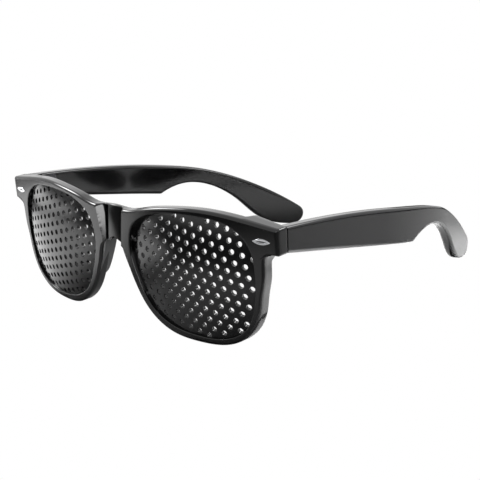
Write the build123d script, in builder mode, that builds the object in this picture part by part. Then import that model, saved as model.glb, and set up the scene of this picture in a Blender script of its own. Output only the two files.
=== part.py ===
from build123d import *
import os
from math import asin, atan2, ceil, cos, hypot, pi, radians, sin, sqrt, tan

os.makedirs("parts", exist_ok=True)

# Pinhole glasses: a moulded front with two punched lenses, and two folding temples on metal hinges.
# X runs across the face, the front looks along -Y, Z is up, and the glasses stand open on Z = 0.

# Overall sizes of the front
front_setback = 76.87
front_lean = 3.0
front_arc_radius = 217.5
rim_depth = 4.2
front_edge_bevel = 0.8

# Lens openings, one each side of the bridge
lens_width = 52.8
lens_height = 42.4
bridge_width = 19.4
lens_centre_drop = 4.66
rim_width = 2.45
brow_width = 1.9
endpiece_reach = 9.5

# Lenses: punched sheet, domed towards the front in flat steps
lens_dome_radius = 90.6
lens_dome_steps = 48
lens_nose_depth = 1.55
lens_temple_depth = 0.8
lens_thickness = 1.2
lens_lip = 0.9
groove_clearance = 0.05
hole_diameter = 1.9
hole_pitch = 3.8
hole_row_angle = 15.0
hole_sides = 4
hole_edge_margin = 0.35
right_grid_out = 1.26
right_grid_up = -1.75
left_grid_out = -0.98
left_grid_up = 0.79

# Bridge
bridge_arch_height = 3.0
bridge_scoop_distance = 20.0
bridge_scoop_top_radius = 21.5
bridge_scoop_low_radius = 20.6

# Nose pads moulded on the rims
pad_root_length = 19.0
pad_root_width = 2.6
pad_tip_length = 12.0
pad_tip_width = 1.9
pad_angle = -63.0
pad_root_depth = 2.4
pad_reach = 7.6

# Endpieces that carry the hinges
endpiece_height = 8.7
endpiece_block_width = 14.5
endpiece_block_slope = 3.0
endpiece_return = 4.14
seam_gap = 0.15

# Metal inlays in the endpieces
inlay_length = 6.9
inlay_height = 2.0
inlay_thickness = 0.8
inlay_proud = 0.25
inlay_inset = 6.0
inlay_slot_length = 4.4
inlay_slot_height = 0.7
inlay_slot_depth = 0.3
inlay_peg_width = 1.1
inlay_peg_length = 1.4
inlay_clearance = 0.03

# Temples
temple_thickness = 4.2
temple_front_height = 8.6
temple_length = 141.0
temple_straight_length = 50.0
temple_bend_radius = 150.0
temple_bend_angle = 20.5
temple_edge_bevel = 0.7

# Hinges: two knuckles on the front leaf, one on the temple leaf, and a screw
knuckle_radius = 1.35
knuckle_room = 0.15
knuckle_height = 2.0
knuckle_gap = 0.05
leaf_thickness = 1.1
front_leaf_width = 7.0
temple_leaf_length = 11.0
leaf_clearance = 0.03
anchor_width = 1.6
anchor_length = 1.5
screw_diameter = 1.2
screw_clearance = 0.03
screw_head_diameter = 2.1
screw_head_height = 0.5

overrun = 6.0
opening_arcs = 14
brow_arcs = 7
rim_arcs = 9
arch_arcs = 3

# Worked out from the sizes above
lean_sin = sin(radians(front_lean))
lean_cos = cos(radians(front_lean))
lens_half_width = lens_width / 2
lens_half_height = lens_height / 2
lens_centre_out = bridge_width / 2 + lens_half_width
lens_bottom = lens_centre_drop + lens_half_height + rim_width
front_half_width = lens_centre_out + lens_half_width + endpiece_reach
dome_step = 2 * pi / lens_dome_steps
lens_reach = lens_half_height + lens_lip + groove_clearance
dome_levels = ceil(asin(lens_reach / (lens_dome_radius - lens_thickness * 2)) / dome_step)
front_arc_angle = asin(lens_centre_out / front_arc_radius)
front_arc_depth = front_arc_radius * (1 - cos(front_arc_angle))


def front_depth(across):
    """Depth of the front's face behind the bridge, at a distance across from the middle."""
    if across <= lens_centre_out:
        return front_arc_radius - sqrt(front_arc_radius**2 - across**2)
    return front_arc_depth + (across - lens_centre_out) * tan(front_arc_angle)


front_corner_depth = front_depth(front_half_width)
seam_setback = front_corner_depth + endpiece_return
front_height = lens_bottom * lean_cos - front_depth(lens_centre_out) * lean_sin
front_origin = (0, -front_setback, front_height)
front_plane = Plane(origin=front_origin, x_dir=(1, 0, 0), z_dir=(0, -lean_cos, -lean_sin))
plan_plane = Plane(origin=front_origin, x_dir=(1, 0, 0), z_dir=(0, -lean_sin, lean_cos))
seam_y = seam_setback - front_setback
seam_plane = Plane(origin=(0, seam_y, 0), x_dir=(1, 0, 0), z_dir=(0, -1, 0))

# Shares of the half width and half height of the lens opening, from its outer side round the top
opening_shares = [
    (1.0, 0.229), (0.928, 0.616), (0.671, 0.890), (0.269, 0.979), (-0.227, 0.984),
    (-0.666, 0.880), (-0.935, 0.630), (-1.0, 0.328), (-0.901, -0.176), (-0.731, -0.592),
    (-0.443, -0.865), (0.065, -1.0), (0.508, -0.959), (0.822, -0.733), (0.966, -0.323),
]
# Shares of the front's half width and of the brow's height over the lens centre, out to the endpiece
brow_shares = [
    (0, 0.853), (0.126, 0.838), (0.246, 0.907), (0.412, 0.977),
    (0.569, 1.0), (0.736, 0.968), (0.903, 0.898), (1, 0.855),
]
# Shares of the half sizes of the rim, from under the endpiece round the bottom to the nose
rim_shares = [
    (1.037, 0.155), (0.988, -0.141), (0.954, -0.365), (0.794, -0.733), (0.506, -0.945), (0.049, -1.0),
    (-0.370, -0.919), (-0.7275, -0.615), (-0.890, -0.302), (-1.0, 0.028),
]
# Shares of the half sizes of the rim, at the middle of a nose pad's root and tip
pad_root_share = (-0.891, -0.167)
pad_tip_share = (-0.870, -0.074)
# Shares of a nose pad's half length and half width, round one quarter of its section
pad_quarter_shares = [(1, 0), (0.9, 0.45), (0.6, 0.85), (0, 1)]
# Shares of the nose arch's half width and height, up to the underside of the bridge
arch_shares = [(0.98, 0.1), (0.62, 0.8), (0, 1)]
# Shares of the temple's length and of the height of its front top corner
temple_top_shares = [(0, 1), (0.25, 0.945), (0.5, 0.834), (0.667, 0.718), (0.83, 0.501), (0.985, 0.19)]
temple_neck_shares = [(0.61, 0.61), (0.695, 0.52), (0.775, 0.335), (0.845, 0.12), (0.955, 0.0012)]
temple_corner_share = (0.487, 0.545)
temple_tip_share = (1.0, 0.105)

brow_height = lens_half_height + brow_width
brow_points = [
    (across * front_half_width, -lens_centre_drop + up * brow_height) for across, up in brow_shares
]


def round_lens(shares, side, room):
    """Points round a lens, from shares of the opening's half sizes grown by some room."""
    return [
        (
            side * (lens_centre_out + across * (lens_half_width + room)),
            -lens_centre_drop + up * (lens_half_height + room),
        )
        for across, up in shares
    ]


rim_points = round_lens(rim_shares, 1, rim_width)
arch_half_width = rim_points[-1][0]
arch_points = [
    (across * arch_half_width, rim_points[-1][1] + up * (bridge_arch_height - rim_points[-1][1]))
    for across, up in arch_shares
]
endpiece_top = brow_points[-1][1]
endpiece_low = endpiece_top - endpiece_height
endpiece_middle = endpiece_top - endpiece_height / 2


def arc_chain(smooth, count):
    """Arcs end to end that follow a smooth line, as many as asked."""
    for step in range(count):
        begin, middle, finish = [smooth @ ((step + share) / count) for share in (0, 0.5, 1)]
        ThreePointArc(begin, middle, finish)


def opening_line(side, room):
    """The outline of a lens opening in arcs, grown by some room."""
    arc_chain(Spline(round_lens(opening_shares, side, room), periodic=True, mode=Mode.PRIVATE), opening_arcs)


def outline_edges(faces):
    """The edges round a patch of faces, which belong to only one of them."""
    edges = [edge for face in faces for edge in face.edges()]
    return [edge for edge in edges if sum(edge.is_same(other) for other in edges) == 1]


def turned_plane(across, depth, up, turn):
    """A plane square to the plan that looks forwards, at a place on it and turned by an angle."""
    origin = plan_plane.offset(up).from_local_coords((across, depth, 0))
    x_dir = Vector(cos(turn), sin(turn) * lean_cos, sin(turn) * lean_sin)
    ahead = Vector(sin(turn), -cos(turn) * lean_cos, -cos(turn) * lean_sin)
    return Plane(origin=origin, x_dir=x_dir, z_dir=ahead)


def lens_plane(side):
    """The plane that touches the domed lens at its middle, from the depths of its two sides in the rim."""
    nose_depth = front_depth(bridge_width / 2) + lens_nose_depth
    temple_depth = front_depth(bridge_width / 2 + lens_width) + lens_temple_depth
    turn = atan2(temple_depth - nose_depth, lens_width)
    half_chord = hypot(lens_width, temple_depth - nose_depth) / 2
    rise = lens_dome_radius - sqrt(lens_dome_radius**2 - half_chord**2)
    across = lens_centre_out + rise * sin(turn)
    depth = (nose_depth + temple_depth) / 2 - rise * cos(turn)
    return turned_plane(side * across, depth, -lens_centre_drop, side * turn)


def stepped_dome(side, radius):
    """A ball in flat steps about the point that a lens bulges from, as high as the lens."""
    dome_middle = plan_plane.to_local_coords(lens_plane(side).from_local_coords((0, 0, -lens_dome_radius)))
    with BuildPart() as dome:
        for level in range(-dome_levels, dome_levels + 1):
            with BuildSketch(plan_plane.offset(dome_middle.Z + radius * sin(level * dome_step))):
                with Locations((dome_middle.X, dome_middle.Y)):
                    RegularPolygon(radius * cos(level * dome_step), lens_dome_steps)
        loft(ruled=True)
    return dome.part


def lens_blank(side, edge_room, face_room):
    """A domed sheet with the opening's outline and a lip, grown by some room on edge and faces."""
    with BuildPart() as blank:
        with BuildSketch(front_plane.offset(overrun)):
            with BuildLine():
                opening_line(side, lens_lip + edge_room)
            make_face()
        extrude(amount=-(overrun + seam_setback))
        add(stepped_dome(side, lens_dome_radius + face_room), mode=Mode.INTERSECT)
        add(stepped_dome(side, lens_dome_radius - lens_thickness - face_room), mode=Mode.SUBTRACT)
    return blank.part


def hole_places(side, grid_out, grid_up):
    """Places square to the domed sheet, on a triangular grid, wherever a whole hole fits in the opening."""
    plane = lens_plane(side)
    dome_middle = plane.from_local_coords((0, 0, -lens_dome_radius))
    with BuildSketch() as window:
        with BuildLine():
            opening_line(side, -hole_edge_margin)
        make_face()
    row_cos = hole_pitch * cos(radians(hole_row_angle))
    row_sin = hole_pitch * sin(radians(hole_row_angle))
    grid_reach = ceil(lens_width / hole_pitch)
    places = []
    for row in range(-grid_reach, grid_reach + 1):
        for step in range(-grid_reach, grid_reach + 1):
            along = side * (grid_out + step * row_cos - row * row_sin)
            up = grid_up - step * row_sin + row * row_cos
            if hypot(along, up) > hypot(lens_width, lens_height):
                continue
            fall = lens_dome_radius - sqrt(lens_dome_radius**2 - along**2 - up**2)
            spot = plane.from_local_coords((along, up, -fall))
            seen = front_plane.to_local_coords(spot)
            if window.sketch.face().is_inside((seen.X, seen.Y, 0)):
                places.append(Plane(origin=spot, x_dir=plane.y_dir, z_dir=spot - dome_middle).location)
    return places


with BuildPart() as hole_punch:
    with BuildSketch():
        RegularPolygon(hole_diameter / 2, hole_sides)
    extrude(amount=lens_thickness * 2, both=True)

with BuildPart() as right_lens:
    add(lens_blank(1, 0, 0))
    right_punches = [hole_punch.part.moved(place) for place in hole_places(1, right_grid_out, right_grid_up)]
    add(right_punches, mode=Mode.SUBTRACT, clean=False)
right_lens.part.label = "right_lens"
export_step(right_lens.part, "parts/right_lens.step")

with BuildPart() as left_lens:
    add(lens_blank(-1, 0, 0))
    left_punches = [hole_punch.part.moved(place) for place in hole_places(-1, left_grid_out, left_grid_up)]
    add(left_punches, mode=Mode.SUBTRACT, clean=False)
left_lens.part.label = "left_lens"
export_step(left_lens.part, "parts/left_lens.step")

# The front: its outline cut through a bent slab, which is thicker at the endpieces
with BuildPart() as front_slab:
    with BuildSketch(plan_plane.offset(-lens_bottom - overrun)):
        with BuildLine():
            arc_middle = lens_centre_out / 2
            arc_end = (lens_centre_out, front_arc_depth)
            face_arc = ThreePointArc((0, 0), (arc_middle, front_depth(arc_middle)), arc_end)
            face_run = Line(face_arc @ 1, (front_half_width, front_corner_depth))
            end_run = Line(face_run @ 1, (front_half_width, front_corner_depth + rim_depth))
            rear_run = Line(end_run @ 1, (lens_centre_out, front_arc_depth + rim_depth))
            ThreePointArc(rear_run @ 1, (arc_middle, front_depth(arc_middle) + rim_depth), (0, rim_depth))
            Line((0, rim_depth), (0, 0))
        make_face()
    extrude(amount=lens_bottom + brow_height + overrun * 2)
    block_in = front_half_width - endpiece_block_width
    with BuildSketch(plan_plane.offset(endpiece_low - rim_width)):
        with BuildLine():
            Polyline(
                (block_in, front_depth(block_in) + rim_depth / 2),
                (block_in, front_depth(block_in) + rim_depth),
                (block_in + endpiece_block_slope, seam_setback + overrun),
                (front_half_width, seam_setback + overrun),
                (front_half_width, front_corner_depth + rim_depth / 2),
                close=True,
            )
        make_face()
    extrude(amount=brow_height)
    split(bisect_by=seam_plane, keep=Keep.TOP)
    mirror(about=Plane.YZ)

with BuildPart() as front_body:
    with BuildSketch(front_plane.offset(overrun)):
        with BuildLine():
            arc_chain(Spline(brow_points, mode=Mode.PRIVATE), brow_arcs)
            end_line = Line(brow_points[-1], (front_half_width, endpiece_low))
            low_line = Line(end_line @ 1, (rim_points[0][0] + rim_width, endpiece_low))
            rim_line = Spline([low_line @ 1] + rim_points, tangents=[(-1, 0), (-0.3, 1)], mode=Mode.PRIVATE)
            arc_chain(rim_line, rim_arcs)
            arch_line = Spline([rim_line @ 1] + arch_points, tangents=[(-0.3, 1), (-1, 0)], mode=Mode.PRIVATE)
            arc_chain(arch_line, arch_arcs)
            mirror(about=Plane.YZ)
        make_face()
    extrude(amount=-(overrun * 2 + seam_setback))
    add(front_slab.part, mode=Mode.INTERSECT)
    front_edges = outline_edges(faces().filter_by(lambda face: face.normal_at().Y < -0.9))
    chamfer(front_edges, length=front_edge_bevel)

hinge_x = front_half_width - temple_thickness - knuckle_radius - knuckle_room
hinge_y = seam_y + seam_gap + knuckle_radius + knuckle_room
hinge_z = front_height + endpiece_middle * lean_cos + seam_setback * lean_sin
hinge_axis_plane = Plane(origin=(hinge_x, hinge_y, hinge_z), x_dir=(1, 0, 0), z_dir=(0, 0, 1))
leaf_height = knuckle_height * 3
knuckle_step = knuckle_height + knuckle_gap
inner_x = front_half_width - temple_thickness


def inlay_plane(side):
    """The plane on the endpiece's face under the middle of an inlay, looking forwards."""
    across = front_half_width - inlay_inset
    return turned_plane(side * across, front_depth(across), endpiece_middle, side * front_arc_angle)


def inlay_solid(side, room):
    """An almond plate with a square peg behind it, grown by some room."""
    plane = inlay_plane(side)
    half_length = inlay_length / 2 + room
    half_height = inlay_height / 2 + room
    with BuildPart() as inlay:
        with BuildSketch(plane.offset(inlay_proud)):
            with BuildLine():
                ThreePointArc((-half_length, 0), (0, half_height), (half_length, 0))
                ThreePointArc((half_length, 0), (0, -half_height), (-half_length, 0))
            make_face()
        extrude(amount=-(inlay_thickness + room))
        with BuildSketch(plane.offset(inlay_proud - inlay_thickness)):
            Rectangle(inlay_peg_width + room * 2, inlay_peg_width + room * 2)
        extrude(amount=-(inlay_peg_length + room))
    return inlay.part


def front_leaf(side, room):
    """The front leaf: a plate let into the endpiece, with an anchor block behind it."""
    half_height = leaf_height / 2 + room
    with BuildPart() as leaf:
        with BuildSketch(Plane.XY.offset(hinge_z - half_height)):
            with Locations((side * (hinge_x - front_leaf_width / 2), seam_y - leaf_thickness / 2)):
                Rectangle(front_leaf_width + room * 2, leaf_thickness + room * 2)
        extrude(amount=half_height * 2)
        with BuildSketch(seam_plane.offset(leaf_thickness / 2)):
            with Locations((side * (hinge_x - front_leaf_width * 3 / 4), hinge_z)):
                Rectangle(anchor_width + room * 2, leaf_height / 2 + room * 2)
        extrude(amount=leaf_thickness / 2 + anchor_length + room)
    return leaf.part


def temple_leaf(side, room):
    """The temple leaf: a plate let into the temple's inner side, with an anchor block behind it."""
    half_height = leaf_height / 2 + room
    with BuildPart() as leaf:
        with BuildSketch(Plane.XY.offset(hinge_z - half_height)):
            with Locations((side * (inner_x + leaf_thickness / 2), hinge_y + temple_leaf_length / 2)):
                Rectangle(leaf_thickness + room * 2, temple_leaf_length + room * 2)
        extrude(amount=half_height * 2)
        with BuildSketch(Plane(origin=(side * inner_x, 0, 0), x_dir=(0, side, 0), z_dir=(side, 0, 0))):
            with Locations((side * (hinge_y + temple_leaf_length * 2 / 3), hinge_z)):
                Rectangle(temple_leaf_length / 2 + room * 2, anchor_width + room * 2)
        extrude(amount=leaf_thickness + anchor_length + room)
    return leaf.part


def pad_section(length, width):
    """The corners of a nose pad's section, quarter by quarter."""
    quarter = [(out * length / 2, up * width / 2) for out, up in pad_quarter_shares]
    upper = quarter + [(-out, up) for out, up in reversed(quarter[:-1])]
    return upper + [(out, -up) for out, up in reversed(upper[1:-1])]


with BuildPart() as front_frame:
    add(front_body.part)
    with BuildSketch(front_plane.offset(overrun)):
        with BuildLine():
            opening_line(1, 0)
        make_face()
        mirror(about=Plane.YZ)
    extrude(amount=-(overrun * 2 + seam_setback), mode=Mode.SUBTRACT)
    with BuildSketch(plan_plane.offset(brow_height)):
        with Locations((0, -bridge_scoop_distance)):
            Circle(bridge_scoop_top_radius)
    with BuildSketch(plan_plane):
        with Locations((0, -bridge_scoop_distance)):
            Circle(bridge_scoop_low_radius)
    loft(mode=Mode.SUBTRACT)
    for side in (1, -1):
        pad_root, pad_tip = round_lens([pad_root_share, pad_tip_share], side, rim_width)
        with BuildSketch(front_plane.offset(-pad_root_depth)):
            with Locations(Location((*pad_root, 0), side * pad_angle)):
                Polygon(pad_section(pad_root_length, pad_root_width), align=None)
        with BuildSketch(front_plane.offset(-pad_reach)):
            with Locations(Location((*pad_tip, 0), side * pad_angle)):
                Polygon(pad_section(pad_tip_length, pad_tip_width), align=None)
        loft(ruled=True)
        add(lens_blank(side, groove_clearance, groove_clearance), mode=Mode.SUBTRACT)
        add(inlay_solid(side, inlay_clearance), mode=Mode.SUBTRACT)
        add(front_leaf(side, leaf_clearance), mode=Mode.SUBTRACT)
front_frame.part.label = "front_frame"
export_step(front_frame.part, "parts/front_frame.step")

# Temples: a side profile cut through a plate that bends in behind the ear
temple_top = hinge_z + temple_front_height / 2
temple_bottom = hinge_z - temple_front_height / 2
temple_start = seam_y + seam_gap


def temple_places(shares):
    """Points of the temple's profile, from shares of its length and of the height of its top corner."""
    return [(temple_start + along * temple_length, up * temple_top) for along, up in shares]


with BuildPart() as right_temple:
    with BuildSketch(Plane.YZ.offset(-overrun)):
        with BuildLine():
            top_line = Spline(temple_places(temple_top_shares))
            neck_line = Spline(temple_places([temple_corner_share] + temple_neck_shares))
            start_line = Line(top_line @ 0, (temple_start, temple_bottom))
            Line(start_line @ 1, neck_line @ 0)
            Spline(
                [neck_line @ 1] + temple_places([temple_tip_share]) + [top_line @ 1],
                tangents=[neck_line % 1, -(top_line % 1)],
            )
        make_face()
    extrude(amount=front_half_width + overrun * 2)
    with BuildSketch(Plane.XY.offset(-overrun)):
        with BuildLine():
            outer_run = Line((front_half_width, temple_start),
                             (front_half_width, temple_start + temple_straight_length))
            outer_bend = JernArc(outer_run @ 1, (0, 1), temple_bend_radius, temple_bend_angle)
            outer_tail = Line(outer_bend @ 1, outer_bend @ 1 + (outer_bend % 1) * temple_length)
            inner_run = Line((front_half_width - temple_thickness, temple_start),
                             (front_half_width - temple_thickness, temple_start + temple_straight_length))
            inner_bend_radius = temple_bend_radius - temple_thickness
            inner_bend = JernArc(inner_run @ 1, (0, 1), inner_bend_radius, temple_bend_angle)
            inner_tail = Line(inner_bend @ 1, inner_bend @ 1 + (inner_bend % 1) * temple_length)
            Line(outer_tail @ 1, inner_tail @ 1)
            Line(outer_run @ 0, inner_run @ 0)
        make_face()
    extrude(amount=temple_top + overrun * 2, mode=Mode.INTERSECT)
    butt = faces().sort_by(Axis.Y)[0]
    chamfer([edge for edge in edges() if not any(edge.is_same(other) for other in butt.edges())],
            length=temple_edge_bevel)
    add(temple_leaf(1, leaf_clearance), mode=Mode.SUBTRACT)
right_temple.part.label = "right_temple"
export_step(right_temple.part, "parts/right_temple.step")

with BuildPart() as left_temple:
    mirror(right_temple.part, about=Plane.YZ)
left_temple.part.label = "left_temple"
export_step(left_temple.part, "parts/left_temple.step")

# Hinges on the right, then their mirror images on the left
with BuildPart() as right_front_hinge:
    add(front_leaf(1, 0))
    for level in (-1, 1):
        with BuildSketch(hinge_axis_plane.offset(level * knuckle_step - knuckle_height / 2)):
            Circle(knuckle_radius)
            with Locations((-knuckle_radius / 2, (seam_y - hinge_y) / 2)):
                Rectangle(knuckle_radius, hinge_y - seam_y)
        extrude(amount=knuckle_height)
    with BuildSketch(hinge_axis_plane.offset(-knuckle_step * 2)):
        Circle(screw_diameter / 2 + screw_clearance)
    extrude(amount=knuckle_step * 4, mode=Mode.SUBTRACT)
right_front_hinge.part.label = "right_front_hinge"
export_step(right_front_hinge.part, "parts/right_front_hinge.step")

with BuildPart() as left_front_hinge:
    mirror(right_front_hinge.part, about=Plane.YZ)
left_front_hinge.part.label = "left_front_hinge"
export_step(left_front_hinge.part, "parts/left_front_hinge.step")

with BuildPart() as right_temple_hinge:
    add(temple_leaf(1, 0))
    with BuildSketch(hinge_axis_plane.offset(-knuckle_height / 2)):
        Circle(knuckle_radius)
        with Locations(((inner_x - hinge_x + leaf_thickness / 2) / 2, knuckle_radius / 2)):
            Rectangle(inner_x - hinge_x + leaf_thickness / 2, knuckle_radius)
        Circle(screw_diameter / 2 + screw_clearance, mode=Mode.SUBTRACT)
    extrude(amount=knuckle_height)
right_temple_hinge.part.label = "right_temple_hinge"
export_step(right_temple_hinge.part, "parts/right_temple_hinge.step")

with BuildPart() as left_temple_hinge:
    mirror(right_temple_hinge.part, about=Plane.YZ)
left_temple_hinge.part.label = "left_temple_hinge"
export_step(left_temple_hinge.part, "parts/left_temple_hinge.step")

with BuildPart() as right_hinge_screw:
    stack_height = knuckle_step * 2 + knuckle_height
    with BuildSketch(hinge_axis_plane.offset(-stack_height / 2)):
        Circle(screw_diameter / 2)
    extrude(amount=stack_height)
    with BuildSketch(hinge_axis_plane.offset(stack_height / 2)):
        Circle(screw_head_diameter / 2)
    extrude(amount=screw_head_height)
right_hinge_screw.part.label = "right_hinge_screw"
export_step(right_hinge_screw.part, "parts/right_hinge_screw.step")

with BuildPart() as left_hinge_screw:
    mirror(right_hinge_screw.part, about=Plane.YZ)
left_hinge_screw.part.label = "left_hinge_screw"
export_step(left_hinge_screw.part, "parts/left_hinge_screw.step")

# Almond metal inlays with a sunk slot
with BuildPart() as right_front_inlay:
    add(inlay_solid(1, 0))
    with BuildSketch(inlay_plane(1).offset(inlay_proud)):
        with BuildLine():
            slot_end = inlay_slot_length / 2
            ThreePointArc((-slot_end, 0), (0, inlay_slot_height / 2), (slot_end, 0))
            ThreePointArc((slot_end, 0), (0, -inlay_slot_height / 2), (-slot_end, 0))
        make_face()
    extrude(amount=-inlay_slot_depth, mode=Mode.SUBTRACT)
right_front_inlay.part.label = "right_front_inlay"
export_step(right_front_inlay.part, "parts/right_front_inlay.step")

with BuildPart() as left_front_inlay:
    mirror(right_front_inlay.part, about=Plane.YZ)
left_front_inlay.part.label = "left_front_inlay"
export_step(left_front_inlay.part, "parts/left_front_inlay.step")
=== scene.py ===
"""Pinhole glasses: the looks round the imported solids, laid out as an add-on with one operator a piece."""

import math

import bpy
import numpy as np
from bpy.props import FloatProperty, FloatVectorProperty, PointerProperty
from mathutils import Matrix, Vector
from mathutils.geometry import delaunay_2d_cdt


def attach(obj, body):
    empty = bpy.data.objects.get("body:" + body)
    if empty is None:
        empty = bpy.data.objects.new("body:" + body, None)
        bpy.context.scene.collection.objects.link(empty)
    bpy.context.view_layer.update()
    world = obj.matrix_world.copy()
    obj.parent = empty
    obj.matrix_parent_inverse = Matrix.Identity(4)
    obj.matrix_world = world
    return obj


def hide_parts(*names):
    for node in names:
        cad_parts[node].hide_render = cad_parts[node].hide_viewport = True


bl_info = {
    "name": "Pinhole glasses",
    "version": (1, 0, 0),
    "blender": (4, 5, 0),
    "location": "3D View > Sidebar > Glasses",
    "description": "Dresses the solids of a pair of pinhole glasses",
    "category": "Object",
}

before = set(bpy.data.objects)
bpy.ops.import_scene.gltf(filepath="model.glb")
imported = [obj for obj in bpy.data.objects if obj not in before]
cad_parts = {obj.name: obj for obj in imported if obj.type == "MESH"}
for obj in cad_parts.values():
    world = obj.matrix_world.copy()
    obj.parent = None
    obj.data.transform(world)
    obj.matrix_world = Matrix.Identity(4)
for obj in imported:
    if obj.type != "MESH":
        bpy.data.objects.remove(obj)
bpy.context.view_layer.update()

# Shares of the half sizes of the lens opening, from its outer side round the top
OPENING_SHARES = (
    (1.0, 0.229), (0.928, 0.616), (0.671, 0.890), (0.269, 0.979), (-0.227, 0.984),
    (-0.666, 0.880), (-0.935, 0.630), (-1.0, 0.328), (-0.901, -0.176), (-0.731, -0.592),
    (-0.443, -0.865), (0.065, -1.0), (0.508, -0.959), (0.822, -0.733), (0.966, -0.323),
)
# Shares of the front's half width and of the brow's height over the lens centre
BROW_SHARES = (
    (0, 0.853), (0.126, 0.838), (0.246, 0.907), (0.412, 0.977),
    (0.569, 1.0), (0.736, 0.968), (0.903, 0.898), (1, 0.855),
)
# Shares of the half sizes of the rim, from under the endpiece round the bottom to the nose
RIM_SHARES = (
    (1.037, 0.155), (0.988, -0.141), (0.954, -0.365), (0.794, -0.733), (0.506, -0.945), (0.049, -1.0),
    (-0.370, -0.919), (-0.7275, -0.615), (-0.890, -0.302), (-1.0, 0.028),
)
# Shares of the arch's half width and height, from the nose to its middle
ARCH_SHARES = ((0.98, 0.1), (0.62, 0.8), (0, 1))
# Shares of a temple's length and of its height at the hinge
TEMPLE_TOP_SHARES = ((0, 1), (0.25, 0.945), (0.5, 0.834), (0.667, 0.718), (0.83, 0.501), (0.985, 0.19))
TEMPLE_NECK_SHARES = (
    (0.487, 0.545), (0.61, 0.61), (0.695, 0.52), (0.775, 0.335), (0.845, 0.12), (0.955, 0.0012),
)
TEMPLE_TIP_SHARE = (1.0, 0.105)

# Points on fine lines, from which even ones are taken
SPAN_STEPS = 60
BROW_FINE = 1400
RIM_FINE = 1600
ARCH_FINE = 600
OPENING_FINE = 3000
TOP_FINE = 1200
NECK_FINE = 900
TIP_FINE = 300
STRAIGHT_FINE = 700

# Columns of the front along each stretch of its outline, and on the cut between its halves
BROW_COLUMNS = 150
CORNER_COLUMNS = 9
END_COLUMNS = 12
UNDER_COLUMNS = 8
RIM_COLUMNS = 190
ARCH_COLUMNS = 44
CUT_COLUMNS = 30
# Columns left out at both ends of the brow and of the rim, where the nearest point of the opening jumps
BROW_SKIP = (36, 26)
RIM_SKIP = (16, 44)
# Places round the opening are counted from COUNT_ROOM points before the one that faces FIRST_COLUMN
FIRST_COLUMN = 40
COUNT_ROOM = 600
# The steps between those places are evened this many times and stay over the least step
EVENING_PASSES = 6
LEAST_STEP = 2.0

# Rows over the front's face and back, and how strongly those before the crease draw together, and where
FACE_ROWS = 34
CREASE_ROW = 20
BACK_ROWS = 25
ROW_PULL = 0.7
ROW_FOCUS = 0.65
# Steps in which a column's crease is looked for, and the shares outside which it has none and is halved
CREASE_STEPS = 400
CREASE_RANGE = (0.03, 0.97)
# Shares of the height from the arch to the endpiece's top between which the bridge's depth changes
SINK_RANGE = (-0.2, 1.1)
# Share of the crease's half width at which the bridge's fine bevel begins to widen
FINE_BEVEL_SHARE = 0.7
# Direction of the outline where the rim turns into the arch
NOSE_SLANT = (-0.3, 1)

# Turns round an edge, levels down a wall, and the share of a bevel that is a flat chamfer
EDGE_TURNS = np.linspace(0, math.pi / 2, 5)
WALL_LEVELS = (0.25, 0.5, 0.75, 1.0)
FLAT_SHARE = 0.55

# Power of a nose pad's ovals, points round them, rings up to the rounded tip, and turns of the tip
PAD_POWER = 2.2
PAD_AROUND = 56
PAD_RINGS = 14
PAD_TIP_TURNS = np.linspace(0, math.pi / 2, 8)[1:]

# Columns along a temple, and levels across each of its sides
TEMPLE_COLUMNS = 181
TEMPLE_LEVELS = np.linspace(0, 1, 15)[1:-1]

# Points round a lens and a hole, and how often the lens's edge is moved towards its line
LENS_AROUND = 240
HOLE_AROUND = 20
LENS_EDGE_PASSES = 12
# The sheet's triangles are worked out in millimetres, where points nearer than this are the same
MILLIMETRES = 1000
SAME_POINT = 1e-7

# Points round an inlay, and turns of its rounded edges
INLAY_AROUND = 96
INLAY_TURNS = np.linspace(0, math.pi / 2, 6)
# Share of the way in that the outer edge's rounding takes, and the share of the height where it starts
INLAY_ROUND = 0.12
INLAY_FOOT = 0.3
# Shares of the way in and of the height over which the top falls off towards the slot
INLAY_CROWN = ((0.5, 0.97), (0.8, 0.9))
# Share of the slot's depth in its rounded lip, and the share up to which its floor runs on
SLOT_LIP = 0.25
SLOT_FLOOR = 1.35

# Points of a surface in the same cell of this size are one point
WELD_CELL = 2e-6
SHARP_ANGLE = math.radians(38)
HINGE_PIECES = 6

WHITE = (1.0, 1.0, 1.0, 1.0)
FLOOR_COLOUR = (0.85, 0.85, 0.85, 1.0)
FLOOR_ROUGHNESS = 0.9
# Camera and spots
SENSOR_WIDTH = 36.0
NEAREST_SEEN = 0.01
SPOT_BLEND = 0.5
SPOT_RADIUS = 0.02

# Scale, detail and roughness of the noises in the skin
SWELL_NOISE = (90.0, 2.0, 0.4)
GRAIN_NOISE = (2600.0, 3.0, 0.6)
DRIFT_NOISE = (260.0, 4.0, 0.65)
STREAK_NOISE = (420.0, 5.0, 0.7)
# How the streaks are turned and stretched, and how high the swell and the grain stand
STREAK_LIE = {"Rotation": (0.5, 0.3, 0.9), "Scale": (1.0, 14.0, 1.0)}
SWELL_HEIGHT = 0.0002
GRAIN_HEIGHT = 0.00002
# Between these values a noise turns into wiping marks, and into dust
MARK_RANGE = (0.56, 0.72)
DUST_RANGE = (0.52, 0.8)
DUST_COLOUR = (0.6, 0.6, 0.62, 1.0)
# How much wiping marks add to the roughness, and the range that it keeps
MARK_ROUGHNESS = 0.6
ROUGHNESS_RANGE = (0.03, 1.0)
# Numbers of sockets that share a name: a colour mix's inputs and its result, and a shader mix's inputs
COLOUR_A, COLOUR_B, COLOUR_MIXED = 6, 7, 2
SHADER_A, SHADER_B = 1, 2


# Settings

def length_setting(name, description, default):
    """A length that a user can change, in metres."""
    return FloatProperty(name=name, description=description, default=default, unit="LENGTH")


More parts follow.
